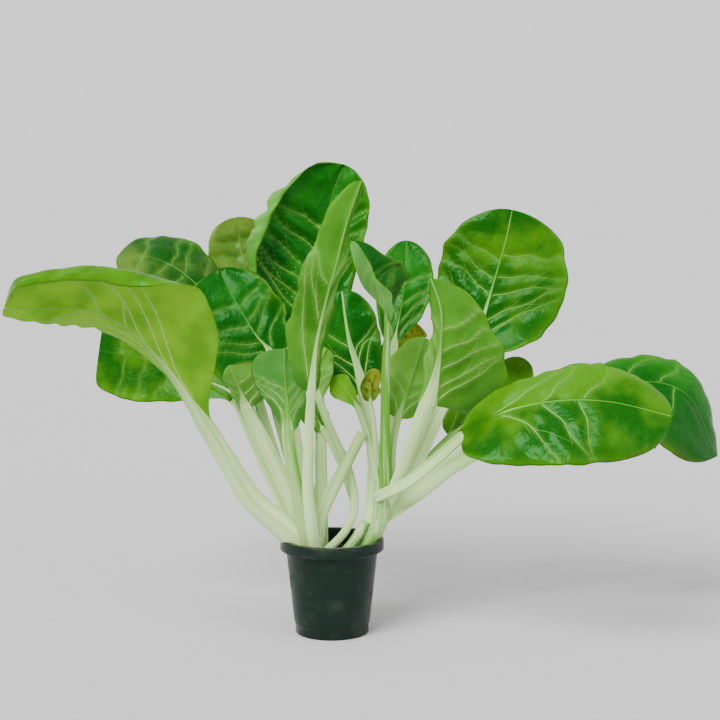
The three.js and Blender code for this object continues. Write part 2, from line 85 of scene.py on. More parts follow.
LEAVES = {
    "leaf_far_left": {
        "stalk": [[-19, -8, 58], [-32, -13, 71], [-49, -20, 88], [-62, -29, 112]],
        "rib": [
            [-76, -39, 138], [-94, -51, 170], [-115, -65, 196], [-141, -79, 211], [-182, -98, 213],
        ],
        "face": [[0.3, 0.9, 0.3], [0.4, 0.8, 0.4], [0, 0.75, 0.65]],
        "width": [24, 13], "depth": [8, 3.5], "flare": 0,
        "left": {
            "half": 73, "widest": 0.6, "round": 0.12, "foot": 1.2, "narrow": 0.34, "lobe": -3,
            "tip_curl": -10, "roll": -150, "roll_from": 0.75, "roll_share": 0.33,
        },
        "right": {"half": 18, "widest": 0.72, "round": 0.25, "foot": 1.1, "curl": 25},
    },
    "leaf_low_left": {
        "stalk": [[-17, 3, 57], [-32, 13, 87], [-48, 25, 119]],
        "rib": [[-61, 36, 143], [-81, 44, 153], [-107, 50, 162], [-131, 54, 168], [-152, 58, 171]],
        "face": [[0.4, -0.7, 0.5], [0.25, -0.95, 0.2], [0.1, -1, 0]],
        "width": [15, 12], "depth": [5, 3.5],
        "left": {"half": 28, "widest": 0.72, "round": 0.1, "foot": 0.6, "lobe": 4, "curl": 5},
        "right": {"half": 30, "widest": 0.6, "round": 0.12, "foot": 0.5, "lobe": 6, "curl": -20},
    },
    "leaf_left_under": {
        "stalk": [[-18, -3, 57], [-27, -11, 92], [-41, -20, 125]],
        "rib": [[-51, -25, 145], [-54, -27, 155], [-58, -28, 164], [-61, -28, 172]],
        "face": [[0.2, 0.9, 0.2], [0.2, 0.9, 0.2], [0.1, 0.9, 0.3]],
        "width": [9, 8], "depth": [4, 2.6],
        "left": {"half": 24, "widest": 0.6, "round": 0.4, "curl": -15},
        "right": {"half": 8, "widest": 0.6, "curl": 60},
    },
    "leaf_left_dark": {
        "stalk": [[-14, 5, 57], [-19, 8, 95], [-26, 11, 138]],
        "rib": [[-37, 13, 172], [-48, 16, 186], [-57, 21, 200], [-65, 27, 213], [-71, 34, 225]],
        "face": [[0.1, -0.9, 0.3], [0, -1, 0.2], [0, -0.8, 0.6]],
        "width": [9, 6], "depth": [4, 2.6], "wave": [2, 2],
        "left": {"half": 38, "widest": 0.4, "lobe": 12, "curl": 20},
        "right": {"half": 25, "widest": 0.45, "lobe": 2, "curl": 35},
    },
    "leaf_front_small": {
        "stalk": [[-15, -13, 58], [-18, -19, 75], [-21, -27, 95], [-24, -33, 114]],
        "rib": [[-26, -37, 134], [-26, -41, 151], [-27, -44, 168], [-27, -45, 184]],
        "face": [[0, 0.9, 0.3], [0.1, 0.9, 0.2], [0, 0.9, 0.4]],
        "width": [9, 8], "depth": [3.6, 2.6], "wave": [1, 3],
        "left": {"half": 12, "widest": 0.6, "round": 0.45, "curl": 20},
        "right": {"half": 20, "widest": 0.72, "curl": 15},
    },
    "leaf_tall_front": {
        "stalk": [[-11, -13, 57], [-14, -28, 94], [-13, -43, 128]],
        "rib": [
            [-11, -56, 160], [-8, -65, 188], [-2, -71, 215], [4, -74, 237], [10, -74, 260],
            [18, -70, 283],
        ],
        "face": [[0, 0.9, 0.2], [0.1, 0.95, 0.2], [-0.2, 0.9, 0.3]],
        "width": [9, 5], "depth": [4, 2.6], "wave": [1.5, 3], "taper": 7,
        "left": {"half": 6, "curl": 80},
        "right": {"half": 19, "widest": 0.35, "curl": 15, "roll": 50},
    },
    "leaf_tall_back": {
        "stalk": [[-7, 3, 57], [-7, 14, 94], [-8, 24, 138]],
        "rib": [[-12, 44, 178], [-11, 56, 209], [-7, 64, 240], [-1, 69, 269], [7, 71, 291]],
        "face": [[0, -0.9, 0.2], [0, -1, 0.1], [0.1, -0.9, 0.4]],
        "width": [9, 6], "depth": [4, 2.8],
        "left": {
            "half": 62, "widest": 0.3, "round": 0.62, "curl": 70, "tip_curl": 50, "roll": 120,
            "roll_share": 0.3,
        },
        "right": {"half": 27, "widest": 0.6, "round": 0.45, "lobe": 8, "curl": 25},
    },
    "leaf_back_olive": {
        "stalk": [[-14, 10, 57], [-26, 36, 97], [-40, 64, 142]],
        "rib": [
            [-50, 88, 183], [-55, 100, 203], [-60, 110, 221], [-64, 117, 238], [-65, 120, 255],
        ],
        "face": [[0.3, -0.9, 0.3], [0.2, -0.9, 0.3], [0, -0.7, 0.7]],
        "width": [9, 6], "depth": [4, 2.6], "wave": [1.5, 2],
        "left": {"half": 23, "widest": 0.6, "curl": 10},
        "right": {"half": 27, "widest": 0.6, "curl": 10},
    },
    "leaf_back_left": {
        "stalk": [[-18, 10, 57], [-34, 26, 98], [-50, 46, 146]],
        "rib": [[-64, 62, 186], [-85, 72, 208], [-104, 80, 223], [-124, 86, 230], [-144, 92, 228]],
        "face": [[0.5, -0.6, 0.4], [0.4, -0.8, 0.5], [0, -0.7, 0.7]],
        "width": [10, 6], "depth": [4, 2.6], "wave": [1.5, 2],
        "left": {"half": 24, "widest": 0.55, "curl": -10},
        "right": {"half": 26, "widest": 0.55, "curl": -25},
    },
    "leaf_fan": {
        "stalk": [[22, -2, 55], [24, -1, 74], [25.5, 1, 93], [26, 2, 110], [24, 6, 128]],
        "rib": [[20, 12, 149], [16, 14, 165], [11, 16, 181], [8, 20, 197], [6, 26, 212]],
        "face": [[0, -1, 0], [0.1, -1, 0.3], [0, -0.8, 0.6]],
        "width": [7, 8], "depth": [3, 2.8], "wave": [1.5, 3], "taper": 2.2,
        "left": {"half": 22, "widest": 0.55, "round": 0.45, "curl": 10},
        "right": {"half": 19, "widest": 0.6, "round": 0.4, "curl": 5},
    },
    "leaf_folded": {
        "stalk": [[33, -5, 95], [33, -13, 125], [33, -26, 165]],
        "rib": [[34, -38, 201], [29, -41, 211], [20, -42, 221], [15, -42, 234], [12, -38, 247]],
        "face": [[0.2, 0.9, 0.1], [0.9, 0, 0.5], [0.9, -0.1, 0.3]],
        "width": [8, 7], "depth": [4, 3], "fold": 55,
        "left": {"half": 11, "widest": 0.45, "curl": 10},
        "right": {"half": 31, "widest": 0.42, "lobe": 8, "curl": -10},
    },
    "leaf_upright_dark": {
        "stalk": [[34, 5, 93], [36, 10, 125], [38, 14, 155]],
        "rib": [[39, 20, 179], [43, 26, 200], [46, 33, 221], [47, 42, 243]],
        "face": [[0, -1, 0.1], [0, -1, 0.2], [0, -0.8, 0.6]],
        "width": [6, 5], "depth": [3, 2.4], "wave": [1.5, 2],
        "left": {"half": 17, "widest": 0.55, "curl": 30},
        "right": {"half": 18, "widest": 0.6, "foot": 0.8, "curl": 20},
    },
    "leaf_right_under": {
        "stalk": [[32, 5, 76], [43, -12, 103], [50, -29, 128]],
        "rib": [[58, -40, 150], [63, -45, 172], [65, -49, 190], [65, -51, 208], [59, -50, 226]],
        "face": [[-0.3, 0.9, 0.3], [-0.2, 0.9, 0.3], [0, 0.9, 0.4]],
        "width": [7, 11], "depth": [5, 3.4], "wave": [2, 2], "flare": 0,
        "left": {"half": 44, "widest": 0.22, "round": 0.85, "lobe": 12, "curl": 10},
        "right": {"half": 7, "curl": 90},
    },
    "leaf_round_right": {
        "stalk": [[34, 6, 74], [52, 23, 99], [71, 40, 138]],
        "rib": [[91, 52, 175], [99, 58, 198], [106, 62, 221], [112, 64, 242], [116, 64, 262]],
        "face": [[-0.5, -0.7, 0.4], [-0.2, -0.95, 0.2], [0, -0.9, 0.4]],
        "width": [8, 8], "depth": [4.5, 3], "wave": [2, 2], "flare": 0.1,
        "left": {"half": 38, "lobe": 10, "curl": -10},
        "right": {"half": 46, "lobe": 10, "curl": -10},
    },
    "leaf_drooping": {
        "stalk": [[31, -9, 89], [46, -21, 99], [61, -32, 113]],
        "rib": [
            [79, -44, 131], [102, -56, 147], [132, -64, 155], [163, -68, 155], [198, -70, 147],
        ],
        "face": [[-0.3, -1, 0.1], [-0.3, -0.6, 0.7], [0.1, -0.8, 0.6]],
        "width": [6, 9], "depth": [4, 3], "wave": [2, 2], "flare": 0,
        "left": {"half": 27, "widest": 0.64, "round": 0.42, "foot": 0.5, "lobe": 14, "curl": -20},
        "right": {"half": 41, "widest": 0.58, "round": 0.4, "foot": 0.45, "lobe": 14, "curl": -25},
    },
    "leaf_far_right": {
        "stalk": [[35, 5, 76], [53, 10, 87], [73, 16, 101]],
        "rib": [
            [97, 26, 113], [126, 32, 129], [161, 36, 146], [197, 38, 153], [227, 36, 144],
            [244, 28, 106],
        ],
        "face": [[-0.3, -1, 0.2], [-0.3, -0.6, 0.8], [0.7, -0.6, 0.3]],
        "width": [13, 14], "depth": [5, 3.2], "wave": [2, 2], "flare": 0,
        "left": {"half": 22, "widest": 0.68, "curl": -25},
        "right": {"half": 50, "widest": 0.8, "round": 0.4, "curl": -15},
    },
    "leaf_right_inner": {
        "stalk": [[31, 10, 77], [48, 24, 90], [64, 38, 105]],
        "rib": [[77, 48, 116], [94, 58, 131], [111, 66, 147], [127, 72, 163]],
        "face": [[-0.4, -0.4, 0.8], [-0.4, -0.7, 0.6], [-0.3, -0.8, 0.5]],
        "width": [9, 7], "depth": [4, 2.6],
        "left": {"half": 18, "round": 0.45, "curl": 10},
        "right": {"half": 20, "round": 0.45, "curl": 10},
    },
    "leaf_pale_inner": {
        "stalk": [[37, -2, 92], [37, -5, 107], [38, -8, 122]],
        "rib": [[41, -9, 137], [46, -10, 152], [51, -11, 168], [57, -12, 187]],
        "face": [[0, 1, 0], [0, 1, 0.2], [0, 0.9, 0.4]],
        "width": [5, 4.5], "depth": [3, 2.2],
        "left": {"half": 16, "curl": 40},
        "right": {"half": 17, "curl": 10},
    },
    "leaf_yellow_old": {
        "stalk": [[30, 8, 93], [32, 20, 118], [35, 32, 145]],
        "rib": [[38, 40, 163], [42, 47, 177], [49, 53, 191]],
        "face": [[0, -1, 0.1], [-0.2, -0.9, 0.3], [-0.2, -0.8, 0.6]],
        "width": [4.5, 3.5], "depth": [2.6, 2], "wave": [2.5, 3],
        "left": {"half": 10, "widest": 0.6, "round": 0.4, "curl": 30},
        "right": {"half": 18, "widest": 0.6, "round": 0.4, "curl": 30},
    },
    "leaf_yellow_small": {
        "stalk": [[29, -2, 103], [27, -7, 120], [26, -8, 136]],
        "rib": [[24, -7, 147], [24, -7, 157], [28, -7, 167]],
        "face": [[0, -1, 0.1], [0, -1, 0.1], [0, -1, 0.3]],
        "width": [3, 2.6], "depth": [2.2, 1.6],
        "left": {"half": 6, "curl": 40},
        "right": {"half": 6, "curl": 40},
    },
    "leaf_pale_middle": {
        "stalk": [[-5, -8, 52], [8, -6, 65], [14, -2, 81], [10, 0, 104], [-1, 0, 129]],
        "rib": [[-8, 1, 148], [-9, 1, 159], [-7, 1, 170], [-3, 1, 179]],
        "face": [[-0.5, 0.8, 0.3], [0.3, 0.9, 0.2], [0, 1, 0.2]],
        "width": [5, 5], "depth": [3, 2.2],
        "left": {"half": 9, "widest": 0.55, "curl": 15},
        "right": {"half": 12, "widest": 0.55, "curl": 15},
    },
    "leaf_olive_inner": {
        "stalk": [[28, -3, 88], [26, -3, 108], [21, 0, 128]],
        "rib": [[16, 3, 142], [11, 4, 150], [6, 5, 156], [1, 6, 161]],
        "face": [[0, -1, 0.1], [-0.3, -0.9, 0.3], [-0.3, -0.9, 0.4]],
        "width": [4, 4], "depth": [2.6, 2],
        "left": {"half": 9, "widest": 0.62, "round": 0.8, "curl": 10},
        "right": {"half": 6, "widest": 0.62, "round": 0.8, "curl": 30},
    },
    "leaf_low_middle": {
        "stalk": [[12, 4, 88], [6, 10, 104], [-1, 15, 118]],
        "rib": [[-6, 18, 126], [-11, 22, 135], [-16, 26, 145]],
        "face": [[-0.3, -0.9, 0.2], [-0.3, -0.9, 0.3], [-0.2, -0.9, 0.5]],
        "width": [4.5, 4], "depth": [2.4, 1.8],
        "left": {"half": 9, "curl": 15},
        "right": {"half": 8, "curl": 15},
    },
}

CUT_STALKS = {
    "cut_stalk_front": {
        "stalk": [[-13, -13, 53], [-4, -11, 80], [7, -7, 103], [19, -3, 127]],
        "face": [[0.5, 0.8, 0.3], [0.5, 0.8, 0.3]],
        "width": [5, 7], "depth": [3.2, 3], "flare": 0,
    },
    "cut_stalk_back": {
        "stalk": [[-8, -2, 58], [-4, 2, 82], [4, 6, 99], [11, 8, 110]],
        "face": [[0.5, 0.8, 0.3], [0.5, 0.8, 0.3]],
        "width": [6, 5.5], "depth": [3, 2.4],
    },
}

# ---- the leaves' surfaces -----------------------------------------------------------------------
# shows is the face that the front of the plant shows, on which the veins stand out. upper and
# under name the tone of each face, and glow is the share of the lighter tone:
# in the middle of the blade's foot, how much it gains towards the right margin, and how much
# towards the tip. The share at the foot is the leaf's own tone; the gains towards the margin and
# the tip are partly its own tone and partly painted light and shade, lighter where the blade is
# lit and darker where it lies in shade.
#
# veins are the side veins on each half: how many, where along the blade the first and the last
# leave the rib, how far up the blade each one rises by the margin, and the power of its bow:
# under 1 it rises at once, over 1 late. forks is how many times each of them forks, and bold how
# thick they are. pucker is how far the blade bulges between them.
#
# flesh is how far up the upper face the stalk's flesh runs, rib the share of the rib's width
# that stays pale beyond it, and rib_from where along the blade that starts. green is how green
# the stalk is, and scorch how brown the margin is near the tip.

PLAIN_LOOK = {
    "shows": "upper", "upper": "deep", "under": "fresh", "glow": (0.4, 0, 0),
    "veins": (4, 0.02, 0.6, 0.4, 1.0), "forks": 3, "bold": 1, "pucker": 1.0, "flesh": 0.14,
    "rib": 0.4, "rib_from": 0, "green": 0.2, "scorch": 0,
}

LOOKS = {
    "leaf_far_left": {
        "shows": "under", "upper": "mid", "under": "lime", "glow": (0.6, 0, 0),
        "veins": (5, 0.12, 0.7, 0.9, 0.75), "forks": 0, "pucker": 0.6, "green": 0,
    },
    # Its right half, the upper one, is darker: painted shadow under leaf_far_left.
    "leaf_low_left": {
        "upper": "mid", "glow": (0.35, -0.4, 0), "veins": (5, 0.05, 0.8, 0.12, 1.1), "forks": 2,
        "bold": 0.6, "pucker": 0.6, "flesh": 0.02, "rib": 0.25, "green": 0.05,
    },
    "leaf_left_under": {
        "shows": "under", "under": "pale", "glow": (0.1, 0, 0), "veins": (3, 0.02, 0.5, 0.5, 0.9),
        "forks": 2, "green": 0,
    },
    "leaf_left_dark": {
        "glow": (0, 0, 0.05), "veins": (4, 0.02, 0.55, 0.45, 0.9), "forks": 1, "bold": 0.65,
        "pucker": 1.8, "green": 0.3,
    },
    "leaf_front_small": {
        "shows": "under", "under": "blue", "veins": (4, 0.0, 0.45, 0.5, 0.75), "forks": 2,
        "green": 0.5,
    },
    "leaf_tall_front": {
        "shows": "under", "glow": (0.3, 0.5, 0), "veins": (3, 0.05, 0.5, 0.55, 1.15), "forks": 1,
        "bold": 0.8, "pucker": 0.9, "green": 0,
    },
    "leaf_tall_back": {
        "under": "blue", "glow": (0.35, 0, 0.15), "veins": (6, 0.02, 0.6, 0.5, 0.9), "pucker": 3.2,
        "green": 0.25,
    },
    "leaf_back_olive": {
        "upper": "olive", "glow": (0.8, 0, 0), "veins": (5, 0.05, 0.75, 0.2, 1.1), "bold": 0.6,
        "pucker": 1.6, "green": 0.35,
    },
    "leaf_back_left": {
        "upper": "olive", "glow": (0.15, -0.3, 0), "veins": (5, 0.05, 0.75, 0.25, 1.1),
        "bold": 0.7, "pucker": 1.5, "green": 0.35,
    },
    "leaf_fan": {
        "glow": (0.15, 0, 0.2), "veins": (3, 0.1, 0.42, 0.5, 0.8), "forks": 1, "bold": 1.5,
        "pucker": 1.8, "flesh": 0.5, "rib": 1, "green": -0.1,
    },
    # Its left half, the near one, is lighter: painted light on the lit half.
    "leaf_folded": {
        "shows": "under", "under": "blue", "glow": (0.35, -0.7, 0),
        "veins": (4, 0.05, 0.5, 0.5, 0.8), "forks": 1, "green": 1.1,
    },
    "leaf_upright_dark": {
        "glow": (0.1, 0, 0.3), "veins": (4, 0.05, 0.6, 0.45, 0.9), "pucker": 1.6, "green": 0.35,
    },
    "leaf_right_under": {
        "shows": "under", "glow": (0.8, 0, 0), "veins": (5, 0.0, 0.55, 0.45, 0.9), "forks": 2,
        "bold": 0.7, "pucker": 0.9, "green": 0,
    },
    "leaf_round_right": {
        "upper": "mid", "glow": (0.0, 0.1, 0.4), "veins": (5, 0.0, 0.62, 0.45, 1.0), "pucker": 1.5,
        "rib": 0.7, "green": 0.15,
    },
    # Its right half and its tip are darker: painted shade where the blade turns down.
    "leaf_drooping": {
        "upper": "mid", "glow": (0.75, -0.55, -0.5), "veins": (3, 0.24, 0.62, 0.45, 0.9),
        "forks": 2, "bold": 1.2, "pucker": 1.4, "flesh": 0.01, "rib": 0.6, "rib_from": 0.24,
        "green": 0.25, "scorch": 1,
    },
    # Its right half, the lower one, is darker: painted shade.
    "leaf_far_right": {
        "glow": (0, -0.9, 0), "veins": (4, 0.05, 0.7, 0.35, 1.0), "green": 0.05, "scorch": 1,
    },
    "leaf_right_inner": {"upper": "mid", "glow": (0.8, 0, 0), "green": 0.4},
    "leaf_pale_inner": {
        "shows": "under", "under": "pale", "veins": (3, 0.05, 0.5, 0.45, 0.9), "forks": 1,
        "pucker": 0.5, "green": 0.3,
    },
    "leaf_yellow_old": {"upper": "old", "under": "old", "pucker": 2.0},
    "leaf_yellow_small": {"upper": "old", "under": "old", "veins": (3, 0.1, 0.6, 0.3, 1.0)},
    "leaf_pale_middle": {
        "shows": "under", "under": "pale", "veins": (3, 0.05, 0.5, 0.45, 0.9), "forks": 1,
        "pucker": 0.5,
    },
    "leaf_olive_inner": {
        "upper": "lime", "under": "lime", "veins": (3, 0.05, 0.5, 0.45, 0.9), "forks": 1,
        "green": 0.35,
    },
    "leaf_low_middle": {"upper": "mid"},
}

# ---- the crowns, the middle stem and the pot, in millimetres ------------------------------------

LEFT_CROWN_AT = (-15, -1)
LEFT_CROWN_PROFILE = [(0, 43), (7, 44.5), (9.5, 49), (9, 56), (5, 61), (0, 62)]
CROWN_RINGS = 24
CROWN_SIDES = 48
RIGHT_STEM_PATH = [(17, 0, 38), (21, 0, 53), (27, 0, 65), (31, 0, 78), (31, 0, 98)]
RIGHT_STEM_RADII = (6, 5.5)
SPUR_PATH = [(0, -9, 43), (7, -7, 51), (15, -5, 61), (21, -3, 71)]
SPUR_RADII = (3.4, 2.6)
# How high a stem's ribs stand, and how uneven it is between them.
STEM_RIB = 0.16
STEM_LUMP = 0.35

POT_HEIGHT = 60
POT_BASE_RADIUS = 23
POT_TOP_RADIUS = 29.5
POT_WALL = 1.2
POT_FLOOR = 1.6
RIM_RADIUS = 32.5
RIM_DEPTH = 7
# The pot stands on a ring, round a shallow hollow whose wall slopes a little.
FOOT_RING = 4.4
FOOT_HOLLOW = 0.8
FOOT_SLOPE = 0.6
FOOT_ROUND = 1.2
# A small step runs round the wall.
STEP_HEIGHT = 6
STEP_DEPTH = 0.8

MIX_TOP = 50
MIX_MOUND = 3
# The mix keeps this far from the pot.
MIX_GAP = 0.05
MIX_SIDES = 96
MIX_RINGS = 26
CRUMB_BED_SIDES = 48
CRUMB_BED_RINGS = 12
# The mix is level in the middle, and its mound rises this quickly from the edge.
MOUND_RISE = 1.2
# The clods on it, from wide to small: their height, their rate per millimetre and their seed.
CLODS = ((1.3, 0.16, 3), (0.8, 0.45, 9), (0.4, 1.1, 5))
SMALLEST_CRUMB = (0.3 * MM, 0.3 * MM, 0.2 * MM)
LARGEST_CRUMB = (1.4 * MM, 1.0 * MM, 0.8 * MM)

ROOTS = 9
ROOT_RADIUS = 0.55
# How far above the mix's level a root lies at each of its points, and how unevenly.
ROOT_HEIGHTS = (2, 3.4, 3.6, 3.2, 2.6, 0)
ROOT_JITTER = 0.4
# From point to point a root turns by up to this angle, with a step between these two.
ROOT_TURN = 0.7
ROOT_STEPS = (3, 5)
# Roots keep this far from the pot's wall.
ROOT_MARGIN = 2.5

# ---- settings -----------------------------------------------------------------------------------


def shade(red, green, blue):
    """A display colour, in 0 to 255, as the linear colour that the materials take."""
    parts = [value / 255 for value in (red, green, blue)]
    return tuple(c / 12.92 if c <= 0.04045 else ((c + 0.055) / 1.055) ** 2.4 for c in parts)


def colour_setting(name, description, red, green, blue):
    return FloatVectorProperty(
        name=name, description=description, subtype="COLOR", size=3, min=0, max=1,
        default=shade(red, green, blue),
    )


def length_setting(name, description, millimetres):
    return FloatProperty(
        name=name, description=description, default=millimetres * MM, min=0,
        subtype="DISTANCE", unit="LENGTH",
    )


def angle_setting(name, description, degrees):
    return FloatProperty(
        name=name, description=description, default=math.radians(degrees),
        subtype="ANGLE", unit="ROTATION",
    )


def strength_setting(name, description, strength):
    return FloatProperty(name=name, description=description, default=strength, min=0)


def count_setting(name, description, count, least=0):
    return IntProperty(name=name, description=description, default=count, min=least)


class LeafSettings(PropertyGroup):
    """Sizes that every leaf shares."""

    thickness: length_setting("Blade thickness", "Thickness of a leaf's blade", 0.5)
    stalk_edge: length_setting("Stalk edge", "Thickness of a stalk at its edges", 1.5)
    row_gap: length_setting("Row gap", "Distance between rows of points along a leaf", 1.5)
    column_gap: length_setting("Column gap", "Distance between points across a blade", 1.8)
    pucker: length_setting("Pucker", "Height of the bulges between the side veins", 1.15)
    pucker_width: length_setting("Pucker width", "How far from a vein a bulge rises", 3.5)
    wrinkle: length_setting("Wrinkle", "Height of the blade's uneven wrinkles", 0.7)
    crinkle: length_setting("Crinkle", "Height of the small waves on the margin", 0.7)
    ridge: length_setting("Stalk ridge", "Height of the ridges along a stalk's back", 0.12)
    vein_radius: length_setting("Vein radius", "Radius of a side vein at the rib", 0.45)
    vein_sides: count_setting("Vein sides", "Sides of a vein's section", 6, 3)


class LeafColours(PropertyGroup):
    """The leaves' tones: the main colour and the one that it varies to."""

    # Each main tone and its lighter one also serve as painted shade and painted light, on the
    # shaded and the lit parts of a blade.
    deep: colour_setting("Deep", "Dark upper face", 4, 68, 4)
    deep_light: colour_setting("Deep, lighter", "Lighter patches of a dark face", 20, 94, 8)
    mid: colour_setting("Mid", "Green upper face", 8, 70, 2)
    mid_light: colour_setting("Mid, lighter", "Lighter patches of a green face", 62, 114, 4)
    olive: colour_setting("Olive", "Upper face of an older leaf", 8, 62, 6)
    olive_light: colour_setting("Olive, lighter", "Lighter patches of an older leaf", 84, 112, 34)
    fresh: colour_setting("Fresh", "Light underside", 42, 96, 14)
    fresh_light: colour_setting("Fresh, lighter", "Lighter patches of an underside", 66, 124, 28)
    lime: colour_setting("Lime", "Yellow-green underside", 78, 138, 6)
    lime_light: colour_setting("Lime, lighter", "Lighter yellow-green patches", 118, 174, 22)
    blue: colour_setting("Blue-green", "Cool underside of a young leaf", 50, 112, 36)
    blue_light: colour_setting("Blue-green, lighter", "Lighter patches of a cool face", 80, 140, 60)
    pale: colour_setting("Pale", "Pale underside of an inner leaf", 68, 122, 36)
    pale_light: colour_setting("Pale, lighter", "Lighter patches of a pale face", 102, 160, 54)
    old: colour_setting("Old", "Green that is left in a dying leaf", 64, 92, 12)
    old_light: colour_setting("Old, lighter", "Yellow of a dying leaf", 142, 150, 30)
    stalk: colour_setting("Stalk", "Pale flesh of stalks and ribs", 206, 232, 164)
    stalk_shade: colour_setting("Stalk, greener", "Greener streaks in the stalks", 92, 156, 40)
    streak: colour_setting("Streak", "Palest streaks of a stalk", 232, 248, 204)
    vein: colour_setting("Vein", "Side vein of a light face", 152, 198, 98)
    vein_dark: colour_setting("Vein, dark leaf", "Side vein of a dark face", 108, 164, 56)
    gloss: colour_setting("Gloss", "Tint of a leaf's reflections", 150, 255, 160)
    brown: colour_setting("Brown", "Dry flecks and dried margins", 78, 66, 24)


class PotSettings(PropertyGroup):
    """Sizes and colours of the pot and the potting mix."""

    sides: count_setting("Sides", "Sides of the round pot", 128, 24)
    rounding: length_setting("Rounding", "Radius of the rim's rounded edges", 0.8)
    plastic: colour_setting("Plastic", "Pot plastic", 6, 28, 20)
    dust: colour_setting("Dust", "Dried mix on the plastic", 44, 52, 42)
    mix: colour_setting("Mix", "Moist potting mix", 8, 11, 9)
    fibre: colour_setting("Fibre", "Dry fibres and crumbs in the mix", 62, 50, 32)
    root: colour_setting("Root", "Palest parts of the roots", 128, 116, 74)
    crumbs: count_setting("Crumbs", "Crumbs per square metre", 700000)
    seed: count_setting("Seed", "Seed of the crumbs' and the roots' places", 7)


class StageSettings(PropertyGroup):
    """The floor, the lights and the camera."""

    floor_radius: FloatProperty(
        name="Floor radius", description="Radius of the pale floor", default=12, unit="LENGTH",
    )
    floor: colour_setting("Floor", "Pale floor", 188, 188, 188)
    sky: strength_setting("Sky", "Strength of the even light", 1.2)
    key: strength_setting("Key light", "Strength of the main light", 5.2)
    fill: strength_setting("Fill light", "Strength of the side light", 0.7)
    spread: angle_setting("Spread", "Angle that each light covers", 35)
    camera_at: FloatVectorProperty(
        name="Camera", description="Where the camera stands", default=(0.0175, -1.1, 0.3039),
        subtype="TRANSLATION", unit="LENGTH",
    )
    camera_pitch: angle_setting("Pitch", "How far the camera looks down", 6.85)
    lens: FloatProperty(name="Lens", description="Focal length on a 36 mm sensor", default=89.7)


# ---- a leaf's form ------------------------------------------------------------------------------

RIB_TIP_RADIUS = 0.35
RIB_TIP_DEPTH = 0.2
# A stalk starts this far inside its crown, hidden.
ROOT_DEPTH = 6
# How far a stalk's edges turn up from its middle, in degrees.
STALK_GUTTER = 35
# From this share of its length on, a blade has its own curl.
CURL_START = 0.3
# A roll sets in over this share of the blade, and grows this quickly with the half's width.
ROLL_RISE = 0.25
ROLL_GAIN = 1.5
# How unevenly a margin runs, as a share of the half's width, and how quickly that changes.
MARGIN_JITTER = 0.05
MARGIN_RATE = 9
# Rows of a stalk lie this many times further apart than those of a blade.
STALK_ROW_GAP = 1.3
FEWEST_STALK_ROWS = 8
FEWEST_BLADE_ROWS = 16
FEWEST_COLUMNS = 8
# Columns lie closer together towards the margin by this power, 1 being even.
COLUMN_POWER = 0.9
RIB_COLUMNS = 10
# Shares of the rib's half-width, closer together towards its edge.
ACROSS_RIB = np.sin(np.linspace(0, math.pi / 2, RIB_COLUMNS))


def lerp(low, high, share):
    return low + (high - low) * share


def smooth(share):
    share = np.clip(share, 0, 1)
    return share * share * (3 - 2 * share)


def unit(vectors):
    return vectors / np.linalg.norm(vectors, axis=-1, keepdims=True)


def line_through(points, shares):
    """Places and directions on the smooth line through points, at shares of its spans."""
    points = np.array(points, float)
    ends = 2 * points[[0, -1]] - points[[1, -2]]
    points = np.vstack([ends[:1], points, ends[1:]])
    spans = len(points) - 3
    reach = np.clip(shares, 0, 1) * spans
    first = np.minimum(reach.astype(int), spans - 1)
    s = (reach - first)[:, None]
    before, start, end, after = (points[first + k] for k in range(4))
    leave, arrive = (end - before) / 2, (after - start) / 2
    bend = 2 * (start - end) + leave + arrive
    turn = 3 * (end - start) - 2 * leave - arrive
    return start + s * (leave + s * (turn + s * bend)), unit(leave + s * (2 * turn + 3 * s * bend))


def path_length(points):
    points, _ = line_through(points, np.linspace(0, 1, 60))
    return np.linalg.norm(np.diff(points, axis=0), axis=1).sum()


def root_of(stalk):
    """Where a stalk's smooth line starts, inside the crown that it grows from."""
    start, after = np.array(stalk[:2], float)
    return start - ROOT_DEPTH * unit(after - start)


def outline(half, along):
    """Share of a half's full width, from 0 at the blade's foot to 1 and back to 0 at its tip."""
    s = along ** (math.log(0.5) / math.log(half["widest"]))
    share = np.maximum(4 * s * (1 - s), 0) ** lerp(half["foot"], half["round"], s)
    return share * (1 - half["narrow"] * along)


